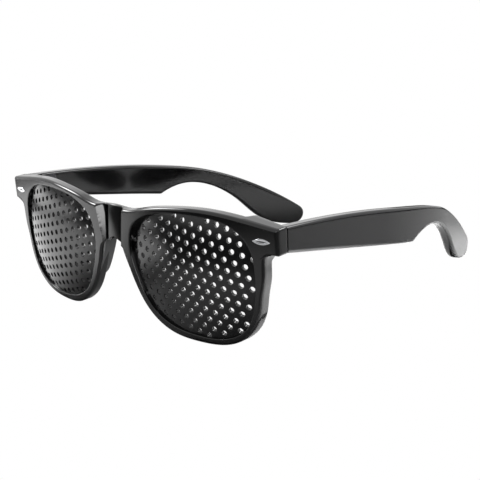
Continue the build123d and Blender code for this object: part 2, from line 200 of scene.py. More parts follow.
def angle_setting(name, description, degrees):
    """An angle that a user can change, given in degrees."""
    return FloatProperty(
        name=name, description=description, default=math.radians(degrees), subtype="ANGLE", unit="ROTATION",
    )


def share_setting(name, description, default):
    """A plain number that a user can change."""
    return FloatProperty(name=name, description=description, default=default, subtype="FACTOR")


def power_setting(name, description, default):
    """A lamp's power that a user can change, in watts."""
    return FloatProperty(name=name, description=description, default=default, unit="POWER")


def colour_setting(name, description, default):
    """A colour that a user can change."""
    return FloatVectorProperty(name=name, description=description, size=3, subtype="COLOR", default=default)


def place_setting(name, description, default):
    """A place that a user can change, with two or three numbers as its default has."""
    return FloatVectorProperty(
        name=name, description=description, size=len(default), default=default, subtype="XYZ", unit="LENGTH",
    )


def share_place_setting(name, description, default):
    """A place in shares of some half sizes that a user can change."""
    return FloatVectorProperty(
        name=name, description=description, size=len(default), default=default, subtype="XYZ",
    )


def pool_setting(name, description, default):
    """The middle and the radius of a pool of light that a user can change."""
    return FloatVectorProperty(name=name, description=description, size=3, default=default, unit="LENGTH")


# Lines and surfaces

def smooth_line(points, count, closed=False, start=None, end=None):
    """Points spaced evenly along the cubic line through the given ones.

    On a span of length h and step d the line is the cubic Hermite form of its two ends, whose slopes m solve
    m[i-1]/h[i-1] + 2 m[i] (1/h[i-1] + 1/h[i]) + m[i+1]/h[i] = 3 (d[i-1]/h[i-1]^2 + d[i]/h[i]^2).
    """
    knots = np.asarray(points, float)
    if closed:
        knots = np.vstack([knots, knots[:1]])
    steps = np.diff(knots, axis=0)
    spans = np.linalg.norm(steps, axis=1)
    total = len(knots)
    matrix = np.zeros((total, total))
    goal = np.zeros((total, 2))
    for i in range(1, total - 1):
        matrix[i, i - 1:i + 2] = 1 / spans[i - 1], 2 / spans[i - 1] + 2 / spans[i], 1 / spans[i]
        goal[i] = 3 * (steps[i - 1] / spans[i - 1]**2 + steps[i] / spans[i]**2)
    if closed:
        matrix[0, 0], matrix[0, 1], matrix[0, -2] = 2 / spans[0] + 2 / spans[-1], 1 / spans[0], 1 / spans[-1]
        goal[0] = 3 * (steps[-1] / spans[-1]**2 + steps[0] / spans[0]**2)
        matrix[-1, 0], matrix[-1, -1] = 1, -1
    else:
        first, second = steps[0] / spans[0], steps[1] / spans[1]
        lead = first + (first - second) * spans[0] / (spans[0] + spans[1])
        last, before = steps[-1] / spans[-1], steps[-2] / spans[-2]
        trail = last + (last - before) * spans[-1] / (spans[-1] + spans[-2])
        matrix[0, 0] = matrix[-1, -1] = 1
        goal[0] = lead if start is None else np.asarray(start) / np.linalg.norm(start) * np.linalg.norm(lead)
        goal[-1] = trail if end is None else np.asarray(end) / np.linalg.norm(end) * np.linalg.norm(trail)
    slopes = np.linalg.solve(matrix, goal)
    share = np.linspace(0, 1, SPAN_STEPS, endpoint=False)[:, None]
    dense = []
    for i in range(total - 1):
        rise = slopes[i] * spans[i]
        fall = slopes[i + 1] * spans[i]
        dense.append(
            knots[i] * (1 - 3 * share**2 + 2 * share**3) + knots[i + 1] * (3 * share**2 - 2 * share**3)
            + rise * (share - 2 * share**2 + share**3) + fall * (share**3 - share**2)
        )
    dense.append(knots[-1:])
    return even_points(np.vstack(dense), count, closed)


def even_points(line, count, closed=False):
    """As many points as asked, at equal steps of length along a line of many short runs."""
    length = np.concatenate([[0], np.cumsum(np.linalg.norm(np.diff(line, axis=0), axis=1))])
    wanted = np.linspace(0, length[-1], count, endpoint=not closed)
    return np.stack([np.interp(wanted, length, line[:, axis]) for axis in range(line.shape[1])], axis=1)


def left_normals(line, closed=False):
    """Unit normals to the left of a line in the plane, from the middle difference of its points."""
    if closed:
        along = np.roll(line, -1, axis=0) - np.roll(line, 1, axis=0)
    else:
        along = np.gradient(line, axis=0)
    along /= np.linalg.norm(along, axis=1, keepdims=True)
    return np.stack([-along[:, 1], along[:, 0]], axis=1)


def soft_max(first, second, room):
    """The larger of two, rounded where they meet: (a + b + sqrt((a - b)^2 + room^2)) / 2."""
    return (first + second + np.sqrt((first - second)**2 + room**2)) / 2


def soft_step(value):
    """0 below 0, 1 above 1, and 3 t^2 - 2 t^3 between."""
    share = np.clip(value, 0, 1)
    return share * share * (3 - 2 * share)


def grid_faces(rows, columns, closed=False):
    """Quads of a grid whose points are stored row by row, with rows that may be closed to rings."""
    index = np.arange(rows * columns).reshape(rows, columns)
    if closed:
        index = np.hstack([index, index[:, :1]])
    return np.stack([index[:-1, :-1], index[:-1, 1:], index[1:, 1:], index[1:, :-1]], axis=-1).reshape(-1, 4)


def join_grids(grids):
    """One list of points and one of quads, from pairs of both."""
    points, faces, start = [], [], 0
    for grid_points, grid_quads in grids:
        points.append(grid_points)
        faces.append(grid_quads + start)
        start += len(grid_points)
    return np.vstack(points), np.vstack(faces)


def mirrored(points, faces):
    """The same surface on the other side of the plane X = 0, still facing outwards."""
    return points * (-1, 1, 1), faces[:, ::-1]


def trimmed(quads):
    """Polygons from quads, without a corner that repeats the one before it."""
    return [
        [corner for place, corner in enumerate(quad) if corner != quad[place - 1]] for quad in quads.tolist()
    ]


def welded(points, quads):
    """The surface with points that meet made one, and quads that shrink to a line left out."""
    keys = np.round(points / WELD_CELL).astype(np.int64)
    _, first, back = np.unique(keys, axis=0, return_index=True, return_inverse=True)
    polygons = [ring for ring in trimmed(back.reshape(-1)[quads]) if len(set(ring)) == len(ring) > 2]
    return points[first], polygons


def closed_rings(rings):
    """Points and faces of a tube of rings, closed by a fan over each end."""
    count, around = rings.shape[:2]
    points = np.vstack([rings.reshape(-1, 3), rings[0].mean(axis=0)[None], rings[-1].mean(axis=0)[None]])
    sides = grid_faces(count, around, closed=True)
    ring = np.arange(around)
    first, last = count * around, count * around + 1
    low = np.stack([ring, np.full(around, first), np.full(around, first), np.roll(ring, -1)], axis=1)
    high = np.stack([ring, np.roll(ring, -1), np.full(around, last), np.full(around, last)], axis=1)
    high[:, :2] += (count - 1) * around
    return points, np.vstack([sides, low, high])


def chamfer_step(turn):
    """Reach and drop of a bevel, for a turn from 0 on the face to a quarter turn on the wall.

    They are f (1 - t) + (1 - f) (1 - sin a) and f t + (1 - f) (1 - cos a), with f the flat share, a the turn
    and t its share of a quarter turn, so that the edges of the bevel are soft.
    """
    share = turn / (math.pi / 2)
    reach = FLAT_SHARE * (1 - share) + (1 - FLAT_SHARE) * (1 - math.sin(turn))
    drop = FLAT_SHARE * share + (1 - FLAT_SHARE) * (1 - math.cos(turn))
    return reach, drop


# Looks

def node_group(name, inputs, outputs):
    """A shared shader group with named inputs and outputs; each socket is a name, a type and a default."""
    group = bpy.data.node_groups.new(name, "ShaderNodeTree")
    for socket, kind, value in inputs:
        group.interface.new_socket(socket, in_out="INPUT", socket_type=kind).default_value = value
    for socket, kind in outputs:
        group.interface.new_socket(socket, in_out="OUTPUT", socket_type=kind)
    return group, group.nodes.new("NodeGroupInput"), group.nodes.new("NodeGroupOutput")


def node(tree, kind, values=None, links=None, **settings):
    """A node with its settings, its constant inputs and what its other inputs are linked to."""
    made = tree.nodes.new(kind)
    for key, value in settings.items():
        setattr(made, key, value)
    for key, value in (values or {}).items():
        made.inputs[key].default_value = value
    for key, socket in (links or {}).items():
        tree.links.new(socket, made.inputs[key])
    return made


def worked(tree, operation, *given):
    """The value of a math node, whose inputs are numbers or sockets."""
    made = tree.nodes.new("ShaderNodeMath")
    made.operation = operation
    for place, value in enumerate(given):
        if isinstance(value, float):
            made.inputs[place].default_value = value
        else:
            tree.links.new(value, made.inputs[place])
    return made.outputs["Value"]


def noise(tree, place, scale, detail, roughness):
    """The factor of a noise at some places."""
    values = {"Scale": scale, "Detail": detail, "Roughness": roughness}
    return node(tree, "ShaderNodeTexNoise", values, {"Vector": place}).outputs["Fac"]


def ramp(tree, value, low, high):
    """0 where the value is under the low end, 1 over the high end and straight between."""
    made = node(tree, "ShaderNodeMapRange", {"From Min": low, "From Max": high}, {"Value": value})
    return made.outputs["Result"]


def wear_group():
    """Moulded or worked skin: a slow swell, fine grain and thin wiping marks.

    Its roughness is r + s (d - 1/2) + 0.6 m, with s the spread, d a noise from 0 to 1 and m the wiping marks.
    Its colour is mixed with that of dust, and its normal is bumped by the swell and then by the grain.
    """
    group, given, out = node_group("skin_wear", [
        ("Color", "NodeSocketColor", (0.5, 0.5, 0.5, 1.0)), ("Roughness", "NodeSocketFloat", 0.2),
        ("Roughness Spread", "NodeSocketFloat", 0.1), ("Swell", "NodeSocketFloat", 0.05),
        ("Grain", "NodeSocketFloat", 0.02), ("Marks", "NodeSocketFloat", 0.1),
        ("Dust", "NodeSocketFloat", 0.02),
    ], [("Color", "NodeSocketColor"), ("Roughness", "NodeSocketFloat"), ("Normal", "NodeSocketVector")])
    place = node(group, "ShaderNodeTexCoord").outputs["Object"]
    swell = noise(group, place, *SWELL_NOISE)
    grain = noise(group, place, *GRAIN_NOISE)
    drift = noise(group, place, *DRIFT_NOISE)
    turned = node(group, "ShaderNodeMapping", STREAK_LIE, {"Vector": place}).outputs["Vector"]
    streaks = noise(group, turned, *STREAK_NOISE)
    marks = worked(group, "MULTIPLY", ramp(group, streaks, *MARK_RANGE), given.outputs["Marks"])
    spread = worked(group, "SUBTRACT", drift, 0.5)
    rough = worked(
        group, "MULTIPLY_ADD", spread, given.outputs["Roughness Spread"], given.outputs["Roughness"],
    )
    rough = worked(group, "MULTIPLY_ADD", marks, MARK_ROUGHNESS, rough)
    low, high = ROUGHNESS_RANGE
    held = node(group, "ShaderNodeClamp", {"Min": low, "Max": high}, {"Value": rough})
    dust = worked(group, "MULTIPLY", ramp(group, drift, *DUST_RANGE), given.outputs["Dust"])
    colour = node(group, "ShaderNodeMix", {COLOUR_B: DUST_COLOUR}, {
        "Factor": dust, COLOUR_A: given.outputs["Color"],
    }, data_type="RGBA")
    swell_bump = node(group, "ShaderNodeBump", {"Distance": SWELL_HEIGHT}, {
        "Strength": given.outputs["Swell"], "Height": swell,
    })
    grain_bump = node(group, "ShaderNodeBump", {"Distance": GRAIN_HEIGHT}, {
        "Strength": given.outputs["Grain"], "Height": grain, "Normal": swell_bump.outputs["Normal"],
    })
    group.links.new(colour.outputs[COLOUR_MIXED], out.inputs["Color"])
    group.links.new(held.outputs["Result"], out.inputs["Roughness"])
    group.links.new(grain_bump.outputs["Normal"], out.inputs["Normal"])
    return group


def paint(name, wear, colour, look, shine):
    """A material of one principled surface fed by the shared skin group."""
    made = bpy.data.materials.new(name)
    made.use_nodes = True
    tree = made.node_tree
    surface = tree.nodes["Principled BSDF"]
    for key, value in shine.items():
        surface.inputs[key].default_value = value
    skin = node(tree, "ShaderNodeGroup", name="skin", node_tree=wear)
    skin.inputs["Color"].default_value = (*colour, 1.0)
    for key, value in look.items():
        skin.inputs[key].default_value = value
    tree.links.new(skin.outputs["Color"], surface.inputs["Base Color"])
    tree.links.new(skin.outputs["Roughness"], surface.inputs["Roughness"])
    tree.links.new(skin.outputs["Normal"], surface.inputs["Normal"])
    return made


def frame_plastic(wear, colours):
    """Glossy moulded plastic of the front and the temples."""
    return paint("frame_plastic", wear, colours.plastic, {
        "Roughness": 0.085, "Roughness Spread": 0.06, "Swell": 0.05, "Grain": 0.05,
        "Marks": 0.05, "Dust": 0.006,
    }, {"IOR": 1.5})


def lens_plastic(wear, colours):
    """The lenses' punched sheet, a little duller than the frame."""
    return paint("lens_plastic", wear, colours.sheet, {
        "Roughness": 0.16, "Roughness Spread": 0.12, "Swell": 0.03, "Grain": 0.08,
        "Marks": 0.08, "Dust": 0.004,
    }, {"IOR": 1.49})


def hinge_steel(wear, colours):
    """Dark worked steel of the hinges and their screws."""
    return paint("hinge_steel", wear, colours.steel, {
        "Roughness": 0.3, "Roughness Spread": 0.2, "Swell": 0.05, "Grain": 0.3,
        "Marks": 0.4, "Dust": 0.03,
    }, {"Metallic": 1.0})


def inlay_metal(wear, colours):
    """Bright metal of the inlays, with painted shade: a dark colour where their attribute sunk is 1, in the
    sunk slots.
    """
    made = paint("inlay_metal", wear, colours.chrome, {
        "Roughness": 0.1, "Roughness Spread": 0.06, "Swell": 0.05, "Grain": 0.05,
        "Marks": 0.1, "Dust": 0.01,
    }, {"Metallic": 1.0})
    tree = made.node_tree
    # Painted shade: the slots' sunk points take the dark slot colour in place of the metal's
    sunk = node(tree, "ShaderNodeAttribute", attribute_name="sunk")
    slot_shade_mix = node(tree, "ShaderNodeMix", {COLOUR_B: (*colours.slot, 1.0)}, {
        "Factor": sunk.outputs["Fac"], COLOUR_A: tree.nodes["skin"].outputs["Color"],
    }, data_type="RGBA")
    tree.links.new(slot_shade_mix.outputs[COLOUR_MIXED], tree.nodes["Principled BSDF"].inputs["Base Color"])
    return made


class LookSettings(bpy.types.PropertyGroup):
    """Colours of the materials."""

    plastic: colour_setting("Plastic", "Colour of the moulded plastic", (0.0035, 0.0035, 0.004))
    sheet: colour_setting("Sheet", "Colour of the punched sheet", (0.003, 0.003, 0.0035))
    steel: colour_setting("Steel", "Colour of the hinges", (0.09, 0.09, 0.095))
    chrome: colour_setting("Chrome", "Colour of the inlays", (0.82, 0.83, 0.85))
    # Slot is painted shade: the dark colour laid in the inlays' sunk slots
    slot: colour_setting("Slot", "Colour in the inlays' slots", (0.02, 0.02, 0.022))


class GLASSES_OT_looks(bpy.types.Operator):
    """Make the plastic, sheet, steel and chrome and give them to the pieces"""

    bl_idname = "glasses.looks"
    bl_label = "Looks"

    def execute(self, context):
        colours = context.scene.glasses_looks
        wear = wear_group()
        makers = (frame_plastic, lens_plastic, hinge_steel, inlay_metal)
        made = {maker.__name__: maker(wear, colours) for maker in makers}
        meshes = [thing for thing in context.scene.objects if thing.type == "MESH"]
        hinges = [thing for thing in meshes if "hinge" in thing.name]
        if len(hinges) < HINGE_PIECES:
            raise RuntimeError("the hinge solids are missing")
        for piece in meshes:
            look = "hinge_steel" if piece in hinges else piece.get("look")
            if look in made:
                piece.data.materials.clear()
                piece.data.materials.append(made[look])
        return {"FINISHED"}


def add_piece(name, points, faces, body, slot, nodes):
    """A piece at the origin that rides on a body and stands for some solids, smooth but for sharp edges."""
    mesh = bpy.data.meshes.new(name)
    mesh.from_pydata(points.tolist(), [], faces)
    mesh.validate()
    mesh.shade_smooth()
    mesh.set_sharp_from_angle(angle=SHARP_ANGLE)
    made = bpy.data.objects.new(name, mesh)
    bpy.context.scene.collection.objects.link(made)
    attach(made, body)
    made["look"] = slot
    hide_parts(*nodes)
    return made


# The front's own frame: across, depth behind the face and height, leaning with its top forward

class FrontSettings(bpy.types.PropertyGroup):
    """Sizes of the front."""

    setback: length_setting("Setback", "Distance of the front ahead of the middle", 0.07687)
    lean: angle_setting("Lean", "How far the top leans forward", 3)
    arc_radius: length_setting("Arc radius", "Bend of the front in plan", 0.2175)
    lens_width: length_setting("Lens width", "Width of a lens opening", 0.0528)
    lens_height: length_setting("Lens height", "Height of a lens opening", 0.0424)
    bridge_width: length_setting("Bridge width", "Distance between the openings", 0.0194)
    lens_drop: length_setting("Lens drop", "Lens centre under the front's own middle line", 0.00466)
    rim_width: length_setting("Rim width", "Width of the rim round the bottom", 0.00245)
    brow_width: length_setting("Brow width", "Width of the rim at the top", 0.0019)
    end_reach: length_setting("Endpiece reach", "Endpiece outside the opening", 0.0095)
    end_height: length_setting("Endpiece height", "Height of the endpiece", 0.0087)
    end_return: length_setting("Endpiece return", "Depth of the endpiece at its corner", 0.00414)
    end_round: length_setting("Corner radius", "Rounding of the endpiece's corners", 0.0007)
    block_width: length_setting("Block width", "Width of the block behind the endpiece", 0.0145)
    block_slope: length_setting("Block slope", "Width of the slope up to the block", 0.0014)
    leaf_inset: length_setting("Leaf inset", "How far the hinge leaf stands proud", 0.00004)
    rim_depth: length_setting("Rim depth", "Depth of the rims from front to rear", 0.0042)
    bevel: length_setting("Bevel", "Bevel round the outside", 0.0008)
    bridge_bevel: length_setting("Bridge bevel", "Bevel on top of the sunk bridge", 0.00025)
    inner_bevel: length_setting("Opening rounding", "Rounding of the openings' edges", 0.00028)
    rear_bevel: length_setting("Rear rounding", "Rounding of the rear edges", 0.0004)
    arch_height: length_setting("Arch height", "Height of the bridge's underside", 0.003)
    sink_top: length_setting("Sink at the top", "Depth of the bridge's middle at its top", 0.0024)
    sink_low: length_setting("Sink at the bottom", "Depth of the bridge's middle at its underside", 0.0011)
    sink_radius: length_setting("Sink bulge", "Radius that the bridge's face bulges with", 0.025)
    sink_slope: share_setting("Sink slope", "Slope of the two sides of the bridge", 1.2)
    sink_fillet: length_setting("Sink fillet", "Softness at the foot of the slopes", 0.00015)
    crease_top: length_setting(
        "Crease at the top", "Half width of the sunk bridge at the endpiece's height", 0.0075,
    )
    crease_low: length_setting(
        "Crease at the bottom", "Half width of the sunk bridge at its underside", 0.0054,
    )


class FrontFrame:
    """Places in the front's own frame, in metres."""

    def __init__(self, sizes):
        self.sizes = sizes
        self.out = sizes.bridge_width / 2 + sizes.lens_width / 2
        self.half_width = self.out + sizes.lens_width / 2 + sizes.end_reach
        self.angle = math.asin(self.out / sizes.arc_radius)
        self.arc_depth = sizes.arc_radius * (1 - math.cos(self.angle))
        bottom = sizes.lens_drop + sizes.lens_height / 2 + sizes.rim_width
        self.height = bottom * math.cos(sizes.lean) - float(self.depth(self.out)) * math.sin(sizes.lean)
        self.brow = sizes.lens_height / 2 + sizes.brow_width
        self.seam = float(self.depth(self.half_width)) + sizes.end_return
        self.seam_y = self.seam - sizes.setback
        self.end_top = BROW_SHARES[-1][1] * self.brow - sizes.lens_drop
        self.end_middle = self.end_top - sizes.end_height / 2
        self.hinge_z = self.height + self.end_middle * math.cos(sizes.lean) + self.seam * math.sin(sizes.lean)

    def depth(self, across):
        """Depth of the face: R - sqrt(R^2 - x^2) out to the lens centre, then straight at the arc's slope."""
        across = np.abs(across)
        radius = self.sizes.arc_radius
        near = radius - np.sqrt(radius**2 - np.minimum(across, self.out)**2)
        return near + np.maximum(across - self.out, 0) * math.tan(self.angle)

    def place(self, across, depth, up):
        """Points of the row frame, turned back by the front's lean."""
        lean_sin, lean_cos = math.sin(self.sizes.lean), math.cos(self.sizes.lean)
        return np.stack([
            across + 0 * depth,
            -self.sizes.setback + depth * lean_cos - up * lean_sin,
            self.height + up * lean_cos + depth * lean_sin,
        ], axis=-1)

    def round_lens(self, shares, room=0.0):
        """Points round the right lens from shares of the opening's half sizes, grown by some room."""
        shares = np.asarray(shares)
        half = np.array([self.sizes.lens_width / 2 + room, self.sizes.lens_height / 2 + room])
        return shares * half + (self.out, -self.sizes.lens_drop)

    def crease(self, up):
        """How far out the face breaks down into the bridge: a straight slant from underside to top."""
        sizes = self.sizes
        share = (up - sizes.arch_height) / (self.end_top - sizes.arch_height)
        return sizes.crease_low + (sizes.crease_top - sizes.crease_low) * share

    def face(self, across, up, drop=0.0):
        """The front surface, lowered by some drop, with the bridge sunk in it.

        The sunk face bulges as w = a + u^2 / 2r and leans back, and two slopes rise from it to the creases.
        """
        sizes = self.sizes
        plain = self.depth(across)
        share = np.clip((up - sizes.arch_height) / (self.end_top - sizes.arch_height), *SINK_RANGE)
        floor = sizes.sink_low + (sizes.sink_top - sizes.sink_low) * share + across**2 / sizes.sink_radius / 2
        slope = (self.crease(up) - np.abs(across)) * sizes.sink_slope
        return plain + np.maximum(-soft_max(-slope, plain - floor, sizes.sink_fillet), 0) + drop

    def rear(self, across, up):
        """The rear surface: the rim's depth behind the face, and at the endpiece a block up to the seam."""
        sizes = self.sizes
        plain = self.depth(across) + sizes.rim_depth
        block_in = self.half_width - sizes.block_width
        seam = (self.seam - sizes.leaf_inset + up * math.sin(sizes.lean)) / math.cos(sizes.lean)
        share = soft_step((across - block_in) / sizes.block_slope)
        low = self.end_top - sizes.end_height - sizes.rim_width
        return plain + (seam - plain) * share * soft_step((up - low) / sizes.block_slope + 0.5)

    def on_face(self, spots, drop=0.0):
        """Points of the face over some spots of the front's plane, lowered by some drop."""
        return self.place(spots[..., 0], self.face(spots[..., 0], spots[..., 1], drop), spots[..., 1])

    def on_rear(self, spots, drop=0.0):
        """Points of the rear over some spots of the front's plane, brought forward by some drop."""
        return self.place(spots[..., 0], self.rear(spots[..., 0], spots[..., 1]) - drop, spots[..., 1])


def corner_arc(before, corner, after, radius, count):
    """Points round a corner, on the curve B(t) = (1-t)^2 a + 2 t (1-t) c + t^2 b."""
    first = corner + (before - corner) / np.linalg.norm(before - corner) * radius
    last = corner + (after - corner) / np.linalg.norm(after - corner) * radius
    share = np.linspace(0, 1, count)[:, None]
    return first * (1 - share)**2 + corner * 2 * share * (1 - share) + last * share**2


def front_outline(front):
    """The right half of the front's outline from the brow's middle round to the underside of the bridge."""
    sizes = front.sizes
    brow = np.asarray(BROW_SHARES) * (front.half_width, front.brow) - (0, sizes.lens_drop)
    low = front.end_top - sizes.end_height
    rim = front.round_lens(RIM_SHARES, sizes.rim_width)
    arch = np.asarray(ARCH_SHARES) * (rim[-1, 0], sizes.arch_height - rim[-1, 1]) + (0, rim[-1, 1])
    top_corner = np.array([front.half_width, front.end_top])
    low_corner = np.array([front.half_width, low])
    turn = np.array([rim[0, 0] + sizes.rim_width, low])
    radius = sizes.end_round
    brow_line = smooth_line(brow, BROW_FINE, start=(1, 0))
    brow_line = brow_line[np.linalg.norm(brow_line - top_corner, axis=1) > radius]
    rim_line = smooth_line(np.vstack([turn[None], rim]), RIM_FINE, start=(-1, 0), end=NOSE_SLANT)
    arch_line = smooth_line(np.vstack([rim[-1:], arch]), ARCH_FINE, start=NOSE_SLANT, end=(-1, 0))
    return [
        even_points(brow_line, BROW_COLUMNS),
        corner_arc(brow_line[-1], top_corner, low_corner, radius, CORNER_COLUMNS),
        even_points(np.array([top_corner - (0, radius), low_corner + (0, radius)]), END_COLUMNS),
        corner_arc(top_corner, low_corner, turn, radius, CORNER_COLUMNS),
        even_points(np.array([low_corner - (radius, 0), turn]), UNDER_COLUMNS),
        even_points(rim_line, RIM_COLUMNS),
        even_points(arch_line, ARCH_COLUMNS),
    ]


def facing_points(front, outer, rim_start):
    """For each column of the front, the point of the opening that it runs to.

    Along the brow and the rim that is the nearest point of the opening. The places of the other columns are
    interpolated between those, and all the steps from place to place are evened by running means of three.
    """
    opening = smooth_line(front.round_lens(OPENING_SHARES), OPENING_FINE, closed=True)[::-1]
    gaps = np.linalg.norm(outer[:, None, :] - opening[None], axis=2)
    nearest = gaps.argmin(axis=1).astype(float)
    start = nearest[FIRST_COLUMN] - COUNT_ROOM
    nearest = np.mod(nearest - start, OPENING_FINE)
    column = np.arange(len(outer))
    on_brow = (column > BROW_SKIP[0]) & (column < BROW_COLUMNS - 1 - BROW_SKIP[1])
    on_rim = (column > rim_start + RIM_SKIP[0]) & (column < len(outer) - RIM_SKIP[1])
    keys = column[on_brow | on_rim]
    matched = np.maximum.accumulate(nearest[keys])
    loop = len(outer) + CUT_COLUMNS
    spread = np.interp(
        np.arange(loop), np.concatenate([keys - loop, keys, keys + loop]),
        np.concatenate([matched - OPENING_FINE, matched, matched + OPENING_FINE]),
    )
    steps = np.diff(np.concatenate([spread, spread[:1] + OPENING_FINE]))
    for _ in range(EVENING_PASSES):
        steps = np.maximum((np.roll(steps, 1) + steps + np.roll(steps, -1)) / 3, LEAST_STEP)
    places = spread[0] + np.concatenate([[0], np.cumsum(steps * OPENING_FINE / steps.sum())[:-1]])
    places = np.mod(places + start, OPENING_FINE)
    ring = np.vstack([opening, opening[:1]])
    axes = [np.interp(places, np.arange(OPENING_FINE + 1), ring[:, axis]) for axis in (0, 1)]
    return np.stack(axes, axis=1)


def cut_points(outer, top_room, low_room):
    """Even points up the cut between the halves, from over the underside to under the brow."""
    heights = np.linspace(outer[-1, 1] + low_room, outer[0, 1] - top_room, CUT_COLUMNS + 2)[1:-1]
    return np.stack([np.zeros(CUT_COLUMNS), heights], axis=1)


def face_shares(front, face_end, face_start):
    """How far in from the outline each row over the face lies, with a row on the crease of each column.

    A row at the share t of those before the crease lies at t - p (sin 2 pi (t - f) + sin 2 pi f) / 2 pi of
    the way to it, with pull p and focus f, and the rows past it are even.
    """
    fine = np.linspace(0, 1, CREASE_STEPS + 1)[:, None, None]
    line = face_end * (1 - fine) + face_start * fine
    crease = (line[..., 0] < front.crease(line[..., 1])).sum(axis=0) / CREASE_STEPS
    crease = np.where((crease > CREASE_RANGE[0]) & (crease < CREASE_RANGE[1]), crease, 0.5)
    row = np.arange(FACE_ROWS)[:, None]
    share = row / CREASE_ROW
    circle = 2 * math.pi
    wave = np.sin(circle * (share - ROW_FOCUS)) + math.sin(circle * ROW_FOCUS)
    before = (share - ROW_PULL / circle * wave) * crease
    after = crease + (row - CREASE_ROW) / (FACE_ROWS - 1 - CREASE_ROW) * (1 - crease)
    return np.where(row < CREASE_ROW, before, after)[..., None]


def wall_rows(front, line, line_in, drop):
    """Rows down a wall from under its front edge, and round its rear edge in a quarter circle."""
    sizes = front.sizes
    front_wall = front.face(line[:, 0], line[:, 1], drop)
    rear_wall = front.rear(line[:, 0], line[:, 1]) - sizes.rear_bevel
    room = rear_wall - front_wall
    rows = [front.place(line[:, 0], front_wall + room * level, line[:, 1]) for level in WALL_LEVELS]
    for turn in EDGE_TURNS[1:]:
        spots = line + line_in * sizes.rear_bevel * (1 - math.cos(turn))
        rows.append(front.on_rear(spots, sizes.rear_bevel * (1 - math.sin(turn))))
    return rows


def front_surface(front):
    """The front as one closed surface: columns run round each opening and rows run round the section.

    A row between the opening and the outline lies at (1 - r) inner + r outer, on the face or on the rear.
    """
    sizes = front.sizes
    parts = front_outline(front)
    outer = np.vstack([parts[0]] + [part[1:] for part in parts[1:]])
    outer_in = -left_normals(outer)
    outer_in[0], outer_in[-1] = (0, -1), (0, 1)
    widening = sizes.crease_top * (1 - FINE_BEVEL_SHARE)
    middle = 1 - soft_step((outer[:, 0] - sizes.crease_top * FINE_BEVEL_SHARE) / widening)
    middle *= np.arange(len(outer)) < BROW_COLUMNS
    bevel = sizes.bevel + (sizes.bridge_bevel - sizes.bevel) * middle
    rim_start = sum(len(part) - 1 for part in parts[:5])
    inner = facing_points(front, outer, rim_start)
    inner_in = left_normals(inner, closed=True)

    face_end = np.vstack([outer + outer_in * bevel[:, None], cut_points(outer, bevel[0], bevel[-1])])
    face_start = inner + inner_in * sizes.inner_bevel
    share = face_shares(front, face_end, face_start)
    rows = list(front.on_face(face_end * (1 - share) + face_start * share))
    for turn in EDGE_TURNS[1:]:
        spots = inner + inner_in * sizes.inner_bevel * (1 - math.sin(turn))
        rows.append(front.on_face(spots, sizes.inner_bevel * (1 - math.cos(turn))))
    rows += wall_rows(front, inner, inner_in, sizes.inner_bevel)
    back_end = np.vstack([
        outer + outer_in * sizes.rear_bevel, cut_points(outer, sizes.rear_bevel, sizes.rear_bevel),
    ])
    back_start = inner + inner_in * sizes.rear_bevel
    share = np.linspace(0, 1, BACK_ROWS + 1)[1:, None, None]
    rows += list(front.on_rear(back_start * (1 - share) + back_end * share))
    body = np.stack(rows)
    body_quads = grid_faces(*body.shape[:2], closed=True)

    rows = []
    for turn in EDGE_TURNS:
        reach, drop = chamfer_step(turn)
        rows.append(front.on_face(outer + outer_in * bevel[:, None] * reach, bevel * drop))
    wall = np.stack(rows + wall_rows(front, outer, outer_in, bevel))
    wall_quads = grid_faces(*wall.shape[:2])[:, ::-1]
    half = join_grids([(body.reshape(-1, 3), body_quads), (wall.reshape(-1, 3), wall_quads)])
    return join_grids([half, mirrored(*half)])


def pad_surface(front, pads):
    """A nose pad on the right: ovals |x/a|^p + |y/b|^p = 1 that shrink from its root to a rounded tip."""
    root, tip = front.round_lens([pads.root_share, pads.tip_share], front.sizes.rim_width)
    around = np.linspace(0, 2 * math.pi, PAD_AROUND, endpoint=False)
    circle = np.stack([np.cos(around), np.sin(around)], axis=1)
    oval = np.sign(circle) * np.abs(circle)**(2 / PAD_POWER)
    length = pads.reach - pads.root_depth
    rounded = pads.rounding / length
    levels = np.concatenate([
        np.linspace(0, 1 - rounded, PAD_RINGS), 1 - rounded * (1 - np.sin(PAD_TIP_TURNS)),
    ])[:, None]
    inset = np.concatenate([np.zeros(PAD_RINGS), 1 - np.cos(PAD_TIP_TURNS)])[:, None] * pads.rounding
    root_half = np.array([pads.root_length, pads.root_width]) / 2
    tip_half = np.array([pads.tip_length, pads.tip_width]) / 2
    half = root_half + (tip_half - root_half) * levels - inset
    flat = oval * half[:, None]
    turn_cos, turn_sin = math.cos(pads.angle), math.sin(pads.angle)
    middle = root + (tip - root) * levels
    across = middle[:, :1] + flat[..., 0] * turn_cos - flat[..., 1] * turn_sin
    up = middle[:, 1:] + flat[..., 0] * turn_sin + flat[..., 1] * turn_cos
    return closed_rings(front.place(across, pads.root_depth + length * levels, up))


class PadSettings(bpy.types.PropertyGroup):
    """Sizes of the nose pads."""

    root_share: share_place_setting("Root", "Middle of the root, in shares of the rim", (-0.914, -0.115))
    tip_share: share_place_setting("Tip", "Middle of the tip, in shares of the rim", (-0.886, -0.050))
    root_length: length_setting("Root length", "Length at the rim", 0.0225)
    root_width: length_setting("Root width", "Width at the rim", 0.0030)
    tip_length: length_setting("Tip length", "Length at the tip", 0.0165)
    tip_width: length_setting("Tip width", "Width at the tip", 0.0019)
    root_depth: length_setting("Root depth", "Depth where the pad leaves the rim", 0.001)
    reach: length_setting("Reach", "Depth of the pad's tip", 0.0082)
    rounding: length_setting("Rounding", "Rounding of the tip", 0.0008)
    angle: angle_setting("Angle", "Slant of the pad", -63)


